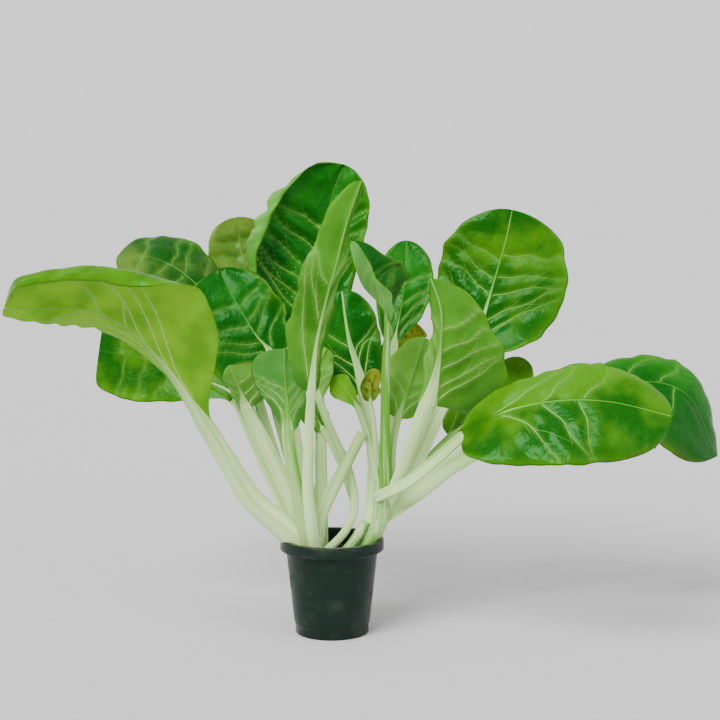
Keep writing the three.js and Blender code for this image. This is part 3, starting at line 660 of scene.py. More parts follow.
class Rows:
    """The places along a leaf where it gets a row of points: a stalk, then a blade."""

    def __init__(self, leaf, gap):
        rib = leaf.get("rib", [])
        stalk = [root_of(leaf["stalk"]), *leaf["stalk"]]
        stalk_rows = round(path_length(stalk + rib[:1]) * MM / gap / STALK_ROW_GAP)
        self.stalk_rows = max(FEWEST_STALK_ROWS, stalk_rows)
        self.blade_rows = max(FEWEST_BLADE_ROWS, round(path_length(rib) * MM / gap)) if rib else 0
        self.space_out(stalk, rib)
        self.turn(*(unit(np.array(way, float)) for way in leaf["face"]))
        self.size(leaf)

    def space_out(self, stalk, rib):
        """Spaces the rows: evenly on the stalk, and closer towards the blade's foot and tip."""
        stalk_share = np.arange(self.stalk_rows + 1) / self.stalk_rows
        turns = np.arange(1, self.blade_rows + 1) / max(self.blade_rows, 1)
        blade_share = (1 - np.cos(math.pi * turns)) / 2
        self.stalk_share = np.concatenate([stalk_share, np.ones(self.blade_rows)])
        self.blade_share = np.concatenate([np.zeros(self.stalk_rows + 1), blade_share])
        foot = len(stalk) / (len(stalk + rib) - 1) if rib else 1
        spots = np.concatenate([foot * stalk_share, foot + (1 - foot) * blade_share])
        self.centre, self.along = line_through(stalk + rib, spots)
        steps = np.linalg.norm(np.diff(self.centre, axis=0), axis=1)
        self.length = np.concatenate([[0], np.cumsum(steps)])

    def turn(self, crown, foot, tip=None):
        """Finds the way that the upper face looks in each row, and the way to its right."""
        tip = foot if tip is None else tip
        blade = self.blade_share[:, None]
        face = lerp(crown, foot, self.stalk_share[:, None])
        face = np.where(blade > 0, lerp(foot, tip, blade), face)
        face -= self.along * (face * self.along).sum(1, keepdims=True)
        self.normal = unit(face)
        self.right = np.cross(self.along, self.normal)

    def size(self, leaf):
        """Finds the half-width and the depth of the stalk, and of the rib that it runs into."""
        stalk_half = lerp(*leaf["width"], self.stalk_share) / 2
        stalk_half *= 1 + leaf["flare"] * (1 - self.stalk_share) ** 3
        stalk_depth = lerp(*leaf["depth"], self.stalk_share)
        taper = 1 - (1 - self.blade_share) ** leaf["taper"]
        self.rib_half = lerp(stalk_half, RIB_TIP_RADIUS, taper)
        self.rib_depth = lerp(stalk_depth, RIB_TIP_DEPTH, taper)


class HalfSheet:
    """The middle surface of one half of a leaf, from the rib to the margin.

    way is -1 for the left half and 1 for the right. Rows run along the leaf and columns
    across it: first those of the rib, then those of the blade.
    """

    def __init__(self, leaf, rows, way, column_gap):
        side = leaf.get("left" if way < 0 else "right", {"half": 0})
        side = {**PLAIN_HALF, "foot": side.get("round", PLAIN_HALF["round"]), **side}
        self.rows, self.way = rows, way
        self.blade = rows.blade_share[:, None]
        self.on_blade = self.blade > 0
        self.width_share = outline(side, rows.blade_share)[:, None] * self.on_blade
        self.spread(side, column_gap)
        self.bend(side, leaf["wave"], self.turns(side, leaf["fold"]))

    def spread(self, side, column_gap):
        """Finds how far the points lie from the leaf's middle, measured along the surface."""
        columns = 1
        if self.rows.blade_rows:
            columns = max(FEWEST_COLUMNS, round(side["half"] * MM / column_gap))
        rib = self.rows.rib_half[:, None]
        uneven = np.array([
            noise.noise(Vector((MARGIN_RATE * share, self.way, side["half"])))
            for share in self.rows.blade_share
        ])
        margin = rib + self.width_share * side["half"] * (1 + MARGIN_JITTER * uneven[:, None])
        self.across_blade = (np.arange(1, columns + 1) / columns) ** COLUMN_POWER
        across_rib = np.concatenate([ACROSS_RIB, np.ones(columns)])
        beyond_rib = np.concatenate([np.zeros(RIB_COLUMNS), self.across_blade])
        self.reach = rib * across_rib + (margin - rib) * beyond_rib
        self.margin = np.broadcast_to(margin, self.reach.shape)
        self.beyond_rib = np.broadcast_to(beyond_rib, self.reach.shape)
        self.side_share = self.way * self.beyond_rib
        length = np.broadcast_to(self.rows.length[:, None], self.reach.shape)
        self.flat_place = np.dstack([self.way * self.reach, length])

    def turns(self, side, fold):
        """How far the surface is turned up at each point, in radians."""
        own_curl = lerp(side["curl"], side.get("tip_curl", side["curl"]), self.blade)
        blade_part = smooth(self.blade / CURL_START)
        curl = np.radians(lerp(STALK_GUTTER, own_curl, blade_part))
        fold = np.radians(fold * blade_part)
        to_margin = self.reach / self.margin
        to_rib_edge = np.minimum(self.reach / self.rows.rib_half[:, None], 1)
        outer = side["roll_share"]
        rolled = smooth((to_margin - 1 + outer) / outer) * smooth(ROLL_GAIN * self.width_share)
        rolled = rolled * smooth((self.blade - side["roll_from"]) / ROLL_RISE + 1)
        return fold * to_rib_edge + curl * to_margin ** 2 + np.radians(side["roll"]) * rolled

    def bend(self, side, wave, turns):
        """Lays the surface out in space by its turns, with the margin's ripple."""
        between = (turns[:, 1:] + turns[:, :-1]) / 2
        step = np.diff(self.reach, axis=1)
        start = np.zeros((len(turns), 1))
        across = np.hstack([start, np.cumsum(np.cos(between) * step, axis=1)])
        up = np.hstack([start, np.cumsum(np.sin(between) * step, axis=1)])
        rows = self.rows
        centre, right, normal, along = (
            line[:, None, :] for line in (rows.centre, rows.right, rows.normal, rows.along)
        )
        self.out = -self.way * np.sin(turns)[..., None] * right + np.cos(turns)[..., None] * normal
        self.edge = (self.reach / self.margin) ** 2 * self.width_share
        size, count = wave
        ripple = size * self.edge * np.sin(2 * math.pi * count * self.blade + self.way)
        back = side["lobe"] * self.edge * (1 - self.blade) ** 2
        self.middle = (
            centre
            + self.way * across[..., None] * right
            + up[..., None] * normal
            + ripple[..., None] * self.out
            - back[..., None] * along
        )

    def place(self, across, along):
        """The middle, the outward way and the flat place at shares across and along the blade."""
        first_row, first_column = self.rows.stalk_rows, RIB_COLUMNS - 1
        blade_rows = self.rows.blade_share[first_row:]
        row = first_row + np.interp(along, blade_rows, np.arange(len(blade_rows)))
        shares = np.concatenate([[0], self.across_blade])
        column = first_column + np.interp(across, shares, np.arange(len(shares)))
        k = np.minimum(row.astype(int), self.reach.shape[0] - 2)
        j = np.minimum(column.astype(int), self.reach.shape[1] - 2)
        down, over = (row - k)[:, None], (column - j)[:, None]

        def blend(grid):
            near = lerp(grid[k, j], grid[k, j + 1], over)
            far = lerp(grid[k + 1, j], grid[k + 1, j + 1], over)
            return lerp(near, far, down)

        return blend(self.middle), blend(self.out), blend(self.flat_place)


# ---- a leaf's veins and relief ------------------------------------------------------------------

VEIN_POINTS = 36
FORK_POINTS = 12
# Side veins leave the rib past the first of these shares of the blade, and end before the second.
VEIN_START = 0.005
VEIN_END = 0.985
# How near to the margin veins and forks come, as a share of the half.
VEIN_REACH = 0.94
FORK_REACH = 0.97
FORK_STARTS = (0.28, 0.45, 0.6, 0.74)
LOWEST_FORK = 0.01
# How far a side vein is off its even place, and the spread of its rise and its bow.
VEIN_JITTER = 0.04
RISE_SPREAD = (0.8, 1.2)
BOW_SPREAD = (0.9, 1.1)
# How far a side vein sways, as a share of the blade's length, how often, and from where.
SWAY = 0.011
SWAY_RATES = (6, 11)
SWAY_STARTS = (0, 6)
# From the first vein to the last the rise loses this share, and the thickness comes down to this.
RISE_LOSS = 0.4
LAST_THICKNESS = 0.6
# How thick a vein still is by the margin, a fork where it starts, and a fork where it ends.
MARGIN_THICKNESS = 0.35
FORK_THICKNESS = 0.5
FORK_END_THICKNESS = 0.5
FORK_JITTER = 0.07
FORK_LENGTHS = (0.16, 0.3)
FORK_BENDS = (0.2, 1.0)
# By turns a fork rises more and less steeply than its vein.
STEEP_FORK = 1.5
STEEP_FORK_START = 0.15
FLAT_FORK = 0.4
# A half whose margin comes nearer to its middle than this has thinner veins.
FULL_VEIN_WIDTH = 22
# A vein lies this far from the blade's middle, towards the face that it shows on.
VEIN_DROP = 0.22
VEIN_HALO = 1.1
# Shares of a half over which the bulges rise from the rib and fall to the margin.
BULGE_RISE = 0.12
BULGE_FALL = 0.08
WRINKLE_RISE = 0.2
# How quickly the wrinkles and the margin's small waves change, per millimetre.
WRINKLE_RATE = 0.09
CRINKLE_RATE = 0.42


def vein_lines(look, radius, draw):
    """The side veins of one half of a blade, and their forks.

    Each is (shares across, shares along, radii); radius is the thickest, in millimetres, and
    draw gives random numbers.
    """
    count, first, last, rise, power = look["veins"]
    veins, forks = [], []
    for k in range(count):
        root = lerp(first, last, k / max(count - 1, 1)) + draw.uniform(-VEIN_JITTER, VEIN_JITTER)
        root = max(root, VEIN_START)
        lift = rise * (1 - RISE_LOSS * k / count) * draw.uniform(*RISE_SPREAD) * (1 - root)
        bow = power * draw.uniform(*BOW_SPREAD)
        across = np.linspace(0, VEIN_REACH, VEIN_POINTS)
        waves = np.sin(across * draw.uniform(*SWAY_RATES) + draw.uniform(*SWAY_STARTS))
        sway = SWAY * waves * smooth(3 * across)
        along = np.minimum(root + lift * across ** bow + sway, VEIN_END)
        thick = radius * lerp(1.0, LAST_THICKNESS, k / count)
        veins.append((across, along, thick * lerp(1.0, MARGIN_THICKNESS, across / VEIN_REACH)))
        for place, start in enumerate(FORK_STARTS[:look["forks"]]):
            at = start + draw.uniform(-FORK_JITTER, FORK_JITTER)
            slope = lift * bow * at ** (bow - 1)
            if (place + k) % 2:
                slope = STEEP_FORK * slope + STEEP_FORK_START
            else:
                slope = FLAT_FORK * slope
            reach = np.linspace(0, draw.uniform(*FORK_LENGTHS), FORK_POINTS)
            bend = slope * reach * (1 + draw.uniform(*FORK_BENDS) * reach)
            fork_along = np.clip(np.interp(at, across, along) + bend, LOWEST_FORK, VEIN_END)
            thinning = lerp(1.0, FORK_END_THICKNESS, reach / reach[-1])
            fork_across = np.minimum(at + reach, FORK_REACH)
            forks.append((fork_across, fork_along, thick * FORK_THICKNESS * thinning))
    return veins, forks


def nearest_vein(sheet, paths):
    """Distance of each point of a half from its nearest vein, in millimetres on the flat."""
    points = np.vstack(paths)
    gaps = sheet.flat_place[:, :, None, :] - points[None, None, :, :]
    return np.sqrt((gaps ** 2).sum(-1).min(-1))


def relief(sheet, look, settings, paths, seed):
    """How far each point of a half lies off its smooth form, in millimetres, and its vein halo."""
    blade = sheet.beyond_rib
    fade = smooth(blade / BULGE_RISE) * smooth((1 - blade) / BULGE_FALL) * sheet.on_blade
    distance = nearest_vein(sheet, paths)
    bulge = 1 - np.exp(-(distance * MM / settings.pucker_width) ** 2)
    lift = look["pucker"] * settings.pucker / MM * (bulge - 0.5) * fade
    grain = np.empty(sheet.reach.shape)
    for place in np.ndindex(grain.shape):
        x, y = sheet.flat_place[place]
        grain[place] = noise.noise(Vector((x * WRINKLE_RATE, y * WRINKLE_RATE, seed)))
    lift += look["pucker"] * settings.wrinkle / MM * grain * smooth(blade / WRINKLE_RISE)
    crinkle = np.sin(sheet.flat_place[..., 1] * CRINKLE_RATE + seed + 3 * grain)
    lift += settings.crinkle / MM * crinkle * sheet.edge ** 2
    return lift, np.exp(-(distance / VEIN_HALO) ** 2) * sheet.on_blade


# ---- a leaf's mesh ------------------------------------------------------------------------------

UPPER_SLOT, UNDER_SLOT = range(2)
# A blade's edge is round over this much of its width, in millimetres.
EDGE_ROUND = 1.0
# The stalk's thick edge thins out to the blade's over this many thicknesses of the blade.
EDGE_FADE = 3
# A rib stands out from the under face by at least this much, and has this many ridges.
LEAST_SWELL = 0.1
RIDGES = 9
# How far past the pale flesh its colour still fades, in millimetres.
FLESH_EDGE = 0.35
# Share of the blade over which a rib that starts late turns pale.
RIB_FADE = 0.1
# A scorched margin starts at this share of the blade and is full this much further on.
SCORCH_START = 0.8
SCORCH_RISE = 0.15
# How sharply the scorch and the light rim keep to the margin.
SCORCH_POWER = 12
RIM_POWER = 12
# How much greener a stalk gets up to the blade, and its rib along the blade's first half.
STALK_GREENING = 0.3
BLADE_GREENING = 0.5
POINT_VALUES = ("from_rib", "halo", "rim", "glow", "greening", "scorch")


class LeafMesh:
    """The points and faces of one leaf, with what its materials read at every point."""

    def __init__(self, name, leaf, look, settings):
        self.look, self.settings = look, settings
        self.rows = Rows(leaf, settings.row_gap)
        self.vein_points, self.vein_edges, self.vein_radii = [], [], []
        seed = sum(ord(letter) for letter in name)
        draw = np.random.default_rng(seed)
        self.halves = [self.half(leaf, way, draw, seed) for way in (-1, 1)]
        self.make_points()
        self.make_values()
        self.make_faces()

    def half(self, leaf, way, draw, seed):
        """The sheet of one half with its relief, and the lines of its veins."""
        look, settings = self.look, self.settings
        sheet = HalfSheet(leaf, self.rows, way, settings.column_gap)
        if not self.rows.blade_rows:
            sheet.halo = np.zeros(sheet.reach.shape)
            return sheet
        fullness = min(1, sheet.margin.max() / FULL_VEIN_WIDTH)
        veins, forks = vein_lines(look, look["bold"] * settings.vein_radius / MM * fullness, draw)
        paths = [sheet.place(across, along)[2] for across, along, _ in veins]
        lift, sheet.halo = relief(sheet, look, settings, paths, seed)
        sheet.middle += sheet.out * lift[..., None]
        drop = VEIN_DROP if look["shows"] == "under" else -VEIN_DROP
        for across, along, radii in veins + forks:
            middle, out, _ = sheet.place(across, along)
            start = len(self.vein_points)
            self.vein_points += list(middle - out * drop)
            self.vein_radii += list(radii)
            self.vein_edges += [(start + k, start + k + 1) for k in range(len(across) - 1)]
        return sheet

    def joined(self, name):
        """The values of both halves as one grid, from the left margin to the right one."""
        left, right = (getattr(half, name) for half in self.halves)
        return np.concatenate([left[:, :0:-1], right], axis=1)

    def make_points(self):
        """Lays the upper and the under face off the middle surface, closed into one body."""
        settings = self.settings
        middle, out, x, margin = (
            self.joined(name) for name in ("middle", "out", "reach", "margin")
        )
        rib = self.rows.rib_half[:, None]
        flesh = 1 - smooth((x - rib) / settings.thickness * MM / EDGE_FADE)
        flesh[self.rows.blade_share == 0] = 1
        edge_half = lerp(settings.thickness, settings.stalk_edge, flesh) / MM / 2
        to_edge = np.clip((x - (margin - EDGE_ROUND)) / EDGE_ROUND, 0, 1)
        half_thickness = edge_half * np.sqrt(1 - to_edge ** 2)
        spare = np.maximum(self.rows.rib_depth[:, None] - settings.stalk_edge / MM, LEAST_SWELL)
        ridge = settings.ridge / MM * np.cos(RIDGES * np.arcsin(np.clip(x / rib, 0, 1)))
        swell = (spare + ridge) * np.maximum(1 - (x / rib) ** 2, 0)
        upper = middle + out * half_thickness[..., None]
        lower = middle - out * (half_thickness + swell)[..., None]
        self.points = np.concatenate([upper, lower[:, -2:0:-1]], axis=1)
        self.upper_columns = middle.shape[1]

    def make_values(self):
        """Works out what the materials read, for every point round the leaf."""
        look, rows = self.look, self.rows
        count, around = self.upper_columns, self.points.shape[1]
        wrap = np.concatenate([np.arange(count), np.arange(count - 2, 0, -1)])
        x, margin, side, self.halo, self.flat = (
            self.joined(name)[:, wrap]
            for name in ("reach", "margin", "side_share", "halo", "flat_place")
        )
        blade = rows.blade_share[:, None]
        rib = rows.rib_half[:, None]
        pale = look["rib"] * smooth((blade - look["rib_from"]) / RIB_FADE + 0.5)
        narrow = lerp(1, pale, smooth(blade / look["flesh"]))
        upper_gap = x - narrow * (rib + FLESH_EDGE) + FLESH_EDGE
        from_rib = np.where(np.arange(around) < count, upper_gap, x - rib)
        self.from_rib = np.where(blade > 0, from_rib, -rib) * MM
        # The lighter share: the leaf's own tone at the blade's foot, with painted light and shade
        # towards the margin and the tip, lighter where a blade is lit and darker where it lies in
        # shade.
        base, rightward, upward = look["glow"]
        self.glow = base + rightward * side + upward * blade
        near_tip = smooth((blade - SCORCH_START) / SCORCH_RISE)
        self.scorch = look["scorch"] * np.abs(side) ** SCORCH_POWER * near_tip
        greening = look["green"] + STALK_GREENING * rows.stalk_share[:, None] ** 3
        greening = greening + BLADE_GREENING * smooth(blade / 0.5)
        self.greening = np.broadcast_to(greening, side.shape)
        self.rim = np.clip((x / margin) ** RIM_POWER, 0, 1) * (blade > 0)

    def make_faces(self):
        """Quads between the rows, with a bare stalk's blade columns drawn into its edges."""
        count, around = self.upper_columns, self.points.shape[1]
        index = np.arange(self.points.shape[0] * around).reshape(-1, around)
        bare = self.rows.blade_share == 0
        left_edge = self.halves[0].reach.shape[1] - RIB_COLUMNS
        right_edge = left_edge + 2 * RIB_COLUMNS - 2
        for columns, edge in ((range(left_edge + 1), 0), (range(right_edge, count), right_edge)):
            for column in columns:
                index[bare, column] = index[bare, edge]
                index[bare, -column % around] = index[bare, edge]

        self.faces, self.face_slots = [], []
        for near, far in zip(index, index[1:]):
            for j in range(around):
                after = (j + 1) % around
                corners = (near[j], near[after], far[after], far[j])
                self.add_face(corners, UPPER_SLOT if j < count - 1 else UNDER_SLOT)
        self.add_face(index[0, ::-1], UNDER_SLOT)
        self.add_face(index[-1], UNDER_SLOT)

    def add_face(self, corners, slot):
        corners = tuple(dict.fromkeys(int(c) for c in corners))
        if len(corners) > 2:
            self.faces.append(corners)
            self.face_slots.append(slot)

    def build(self, name, materials):
        """Makes the mesh object, with the veins as loose lines that are given a body later."""
        used = sorted({corner for face in self.faces for corner in face})
        place = {old: new for new, old in enumerate(used)}
        faces = [tuple(place[c] for c in face) for face in self.faces]
        edges = [(a + len(used), b + len(used)) for a, b in self.vein_edges]
        veins = np.array(self.vein_points).reshape(-1, 3)
        points = np.vstack([self.points.reshape(-1, 3)[used], veins]) * MM
        mesh = bpy.data.meshes.new(name)
        mesh.from_pydata(points.tolist(), edges, faces)
        mesh.polygons.foreach_set("material_index", self.face_slots)
        mesh.polygons.foreach_set("use_smooth", [True] * len(faces))
        for material in materials:
            mesh.materials.append(material)
        for label in POINT_VALUES:
            values = getattr(self, label).reshape(-1)[used]
            add_values(mesh, label, "FLOAT", np.concatenate([values, np.zeros(len(veins))]))
        radii = np.concatenate([np.zeros(len(used)), self.vein_radii]) * MM
        add_values(mesh, "vein_radius", "FLOAT", radii)
        flat = np.zeros((len(points), 3))
        flat[:len(used), :2] = self.flat.reshape(-1, 2)[used] * MM
        add_values(mesh, "leaf_place", "FLOAT_VECTOR", flat)
        made = bpy.data.objects.new(name, mesh)
        bpy.context.scene.collection.objects.link(made)
        return made


def add_values(mesh, label, kind, values):
    """Stores one value or vector for every point of a mesh."""
    attribute = mesh.attributes.new(label, kind, "POINT")
    field = "vector" if kind == "FLOAT_VECTOR" else "value"
    attribute.data.foreach_set(field, np.ascontiguousarray(values, np.float32).ravel())


# ---- geometry nodes -----------------------------------------------------------------------------


def new_tree(name, inputs):
    """A geometry node tree with a geometry input and named inputs of (name, kind, default)."""
    tree = bpy.data.node_groups.new(name, "GeometryNodeTree")
    tree.interface.new_socket("Geometry", in_out="INPUT", socket_type="NodeSocketGeometry")
    for label, kind, default in inputs:
        socket = tree.interface.new_socket(label, in_out="INPUT", socket_type=kind)
        if default is not None:
            socket.default_value = default
    tree.interface.new_socket("Geometry", in_out="OUTPUT", socket_type="NodeSocketGeometry")
    return tree, add_node(tree, "NodeGroupInput"), add_node(tree, "NodeGroupOutput")


def add_node(tree, kind, settings=None, **inputs):
    """Adds a node with its settings and inputs, laid out in rows of twelve."""
    node = tree.nodes.new(kind)
    node.location = (200 * (len(tree.nodes) % 12), -260 * (len(tree.nodes) // 12))
    for label, value in (settings or {}).items():
        setattr(node, label, value)
    set_inputs(tree, node, **inputs)
    return node


def set_inputs(tree, node, **inputs):
    """Fills inputs of a node, each named with _ for a space."""
    for label, value in inputs.items():
        fill(tree, node, label.replace("_", " "), value)


def fill(tree, node, label, value):
    """Sets an input, given by its name or its number, or links another node's output to it."""
    socket = node.inputs[label]
    if isinstance(value, bpy.types.NodeSocket):
        tree.links.new(value, socket)
    else:
        socket.default_value = value


def math_node(tree, operation, *values):
    node = add_node(tree, "ShaderNodeMath", {"operation": operation})
    for place, value in enumerate(values):
        fill(tree, node, place, value)
    return node.outputs[0]


def product(tree, first, second):
    return math_node(tree, "MULTIPLY", first, second)


def total(tree, first, second):
    return math_node(tree, "ADD", first, second)


def finish_tree(tree, geometry, material, output, selection=True):
    real = add_node(tree, "GeometryNodeRealizeInstances", Geometry=geometry)
    dressed = add_node(
        tree, "GeometryNodeSetMaterial", Geometry=real.outputs[0], Material=material,
        Selection=selection,
    )
    tree.links.new(dressed.outputs[0], output.inputs[0])


def vein_tree():
    """Gives every loose line of a leaf a round body that is as thick as its vein_radius."""
    tree, given, output = new_tree("Vein Ridges", [
        ("Sides", "NodeSocketInt", 6),
        ("Thickness", "NodeSocketFloat", 1.0),
        ("Material", "NodeSocketMaterial", None),
    ])
    neighbours = add_node(tree, "GeometryNodeInputMeshEdgeNeighbors")
    loose = add_node(tree, "FunctionNodeCompare", {"data_type": "INT", "operation": "EQUAL"})
    tree.links.new(neighbours.outputs[0], loose.inputs[2])
    split = add_node(
        tree, "GeometryNodeSeparateGeometry", {"domain": "EDGE"},
        Geometry=given.outputs["Geometry"], Selection=loose.outputs[0],
    )
    lines = add_node(tree, "GeometryNodeMeshToCurve", Mesh=split.outputs["Selection"])
    radius = add_node(tree, "GeometryNodeInputNamedAttribute", Name="vein_radius")
    scale = product(tree, radius.outputs[0], given.outputs["Thickness"])
    section = add_node(tree, "GeometryNodeCurvePrimitiveCircle", Resolution=given.outputs["Sides"])
    body = add_node(
        tree, "GeometryNodeCurveToMesh", Curve=lines.outputs[0], Profile_Curve=section.outputs[0],
        Scale=scale, Fill_Caps=True,
    )
    rounded = add_node(tree, "GeometryNodeSetShadeSmooth", Geometry=body.outputs[0])
    whole = add_node(tree, "GeometryNodeJoinGeometry")
    tree.links.new(rounded.outputs[0], whole.inputs[0])
    tree.links.new(split.outputs["Inverted"], whole.inputs[0])
    is_vein = math_node(tree, "GREATER_THAN", radius.outputs[0], 0.0)
    finish_tree(tree, whole.outputs[0], given.outputs["Material"], output, is_vein)
    return tree


def crumb_tree():
    """Strews a surface with lumps of random size, turn and shape."""
    tree, given, output = new_tree("Strewn Crumbs", [
        ("Density", "NodeSocketFloat", 100000.0),
        ("Smallest", "NodeSocketVector", (0.0002, 0.0002, 0.0002)),
        ("Largest", "NodeSocketVector", (0.001, 0.001, 0.001)),
        ("Seed", "NodeSocketInt", 0),
        ("Material", "NodeSocketMaterial", None),
    ])
    points = add_node(
        tree, "GeometryNodeDistributePointsOnFaces", Mesh=given.outputs["Geometry"],
        Density=given.outputs["Density"], Seed=given.outputs["Seed"],
    )
    turn = add_node(tree, "FunctionNodeRandomValue", {"data_type": "FLOAT_VECTOR"})
    fill(tree, turn, 1, (math.tau, math.tau, math.tau))
    fill(tree, turn, "Seed", given.outputs["Seed"])
    size = add_node(tree, "FunctionNodeRandomValue", {"data_type": "FLOAT_VECTOR"})
    fill(tree, size, 0, given.outputs["Smallest"])
    fill(tree, size, 1, given.outputs["Largest"])
    lump = add_node(tree, "GeometryNodeMeshIcoSphere", Radius=1.0, Subdivisions=1)
    strewn = add_node(
        tree, "GeometryNodeInstanceOnPoints", Points=points.outputs[0],
        Instance=lump.outputs[0], Rotation=turn.outputs[0], Scale=size.outputs[0],
    )
    finish_tree(tree, strewn.outputs[0], given.outputs["Material"], output)
    return tree


def run_tree(holder, tree, values):
    """Runs a tree on an object with its inputs set, and keeps the result as a plain mesh."""
    modifier = holder.modifiers.new(tree.name, "NODES")
    modifier.node_group = tree
    for socket in tree.interface.items_tree:
        if socket.in_out == "INPUT" and socket.name in values:
            modifier[socket.identifier] = values[socket.name]
    graph = bpy.context.evaluated_depsgraph_get()
    result = bpy.data.meshes.new_from_object(
        holder.evaluated_get(graph), preserve_all_data_layers=True, depsgraph=graph,
    )
    holder.modifiers.remove(modifier)
    result.name = holder.name
    holder.data = result


# ---- materials ----------------------------------------------------------------------------------

# Cells of a leaf's net, per metre: about 5 mm and 1.6 mm across.
WIDE_NET = 200
FINE_NET = 620
# How strongly each layer of a blade's colour covers the one below it.
WIDE_LINE = 0.03
FINE_LINE_GLOSSY = 0.05
FINE_LINE_DULL = 0.12
HALO = 0.22
LIGHT_RIM = 0.6
# How far a leaf's tone wanders to either side of its own share of the lighter one.
UNEVEN = 0.45
STREAK = 0.35


def new_material(name):
    """A material with an empty node tree, its shader and where patterns are read from."""
    material = bpy.data.materials.new(name)
    material.use_nodes = True
    tree = material.node_tree
    tree.nodes.clear()
    output = add_node(tree, "ShaderNodeOutputMaterial")
    shader = add_node(tree, "ShaderNodeBsdfPrincipled")
    tree.links.new(shader.outputs[0], output.inputs[0])
    spot = add_node(tree, "ShaderNodeTexCoord").outputs["Object"]
    return material, tree, shader, spot


def mixed(tree, share, first, second):
    """A colour between two others, which are outputs of nodes or plain colours."""
    node = add_node(tree, "ShaderNodeMix", {"data_type": "RGBA"})
    fill(tree, node, 0, share)
    for place, value in ((6, first), (7, second)):
        fill(tree, node, place, value if isinstance(value, bpy.types.NodeSocket) else (*value, 1))
    return node.outputs[2]


def covered(tree, base, cover, share, strength):
    """A colour with another laid over it, where share is high and at most by strength."""
    return mixed(tree, product(tree, share, strength), base, cover)


def ramped(tree, value, low, high, to_low=0.0, to_high=1.0):
    """A value carried from one range to another, and held at its ends."""
    node = add_node(tree, "ShaderNodeMapRange", {"interpolation_type": "SMOOTHSTEP"})
    for place, number in enumerate((value, low, high, to_low, to_high)):
        fill(tree, node, place, number)
    return node.outputs[0]


def blotches(tree, spot, scale, detail=3.0, roughness=0.5):
    return add_node(
        tree, "ShaderNodeTexNoise", Vector=spot, Scale=scale, Detail=detail, Roughness=roughness,
    ).outputs[0]


def streaks(tree, vector, scale, detail=2.0):
    """Blotches drawn out by a scale of their own along each axis."""
    stretched = add_node(tree, "ShaderNodeMapping", Vector=vector, Scale=scale).outputs[0]
    return blotches(tree, stretched, 1.0, detail)


def point_value(tree, label, output="Fac"):
    return add_node(tree, "ShaderNodeAttribute", {"attribute_name": label}).outputs[output]


def net(tree, spot, scale):
    """Distance from the lines of a net of small cells, whose lines wander a little."""
    wander = add_node(tree, "ShaderNodeTexNoise", Vector=spot, Scale=scale * 0.6, Detail=2.0)
    pull = add_node(tree, "ShaderNodeVectorMath", {"operation": "SCALE"}, Vector=wander.outputs[1])
    fill(tree, pull, "Scale", 0.5 / scale)
    moved = add_node(tree, "ShaderNodeVectorMath", {"operation": "ADD"})
    fill(tree, moved, 0, spot)
    fill(tree, moved, 1, pull.outputs[0])
    cells = add_node(
        tree, "ShaderNodeTexVoronoi", {"feature": "DISTANCE_TO_EDGE"},
        Vector=moved.outputs[0], Scale=scale,
    )
    return cells.outputs["Distance"]


def bumped(tree, height, strength, distance):
    return add_node(
        tree, "ShaderNodeBump", Height=height, Strength=strength, Distance=distance,
    ).outputs[0]


def flesh_colour(tree, colours):
    """Stalk flesh: lengthwise streaks in it, and greener the nearer it is to the blade."""
    place = point_value(tree, "leaf_place", "Vector")
    bands = ramped(tree, streaks(tree, place, (260, 6, 1)), 0.4, 0.7)
    share = total(tree, product(tree, bands, STREAK), point_value(tree, "greening"))
    colour = mixed(tree, share, colours.stalk, colours.stalk_shade)
    fibres = streaks(tree, place, (900, 18, 1))
    return covered(tree, colour, colours.streak, ramped(tree, fibres, 0.5, 0.7), STREAK), fibres


def blade_colour(tree, spot, tone, colours, glossy, wide, fine, uneven):
    """A blade's colour: two tones in patches, with its net, veins' halo, rim and dry parts."""
    main, light = getattr(colours, tone), getattr(colours, tone + "_light")
    vein = colours.vein_dark if glossy else colours.vein
    # The two tones mix by the lighter share, which holds painted light and shade, and by uneven
    # blotches.
    patches = ramped(tree, total(tree, point_value(tree, "glow"), uneven), 0.0, 1.0)
    colour = mixed(tree, patches, main, light)
    wide_line = ramped(tree, wide, 0.0, 0.07, 1.0, 0.0)
    colour = covered(tree, colour, vein, wide_line, WIDE_LINE)
    fine_line = ramped(tree, fine, 0.0, 0.1, 1.0, 0.0)
    strength = FINE_LINE_GLOSSY if glossy else FINE_LINE_DULL
    colour = covered(tree, colour, light, fine_line, strength)
    colour = covered(tree, colour, vein, point_value(tree, "halo"), HALO)
    colour = covered(tree, colour, colours.lime, point_value(tree, "rim"), LIGHT_RIM)
    dry = ramped(tree, blotches(tree, spot, 420.0), 0.42, 0.55)
    colour = covered(tree, colour, colours.brown, dry, point_value(tree, "scorch"))
    if tone == "old":
        spots = ramped(tree, blotches(tree, spot, 260.0, 4.0, 0.6), 0.54, 0.66)
        colour = mixed(tree, spots, colour, colours.brown)
    return colour


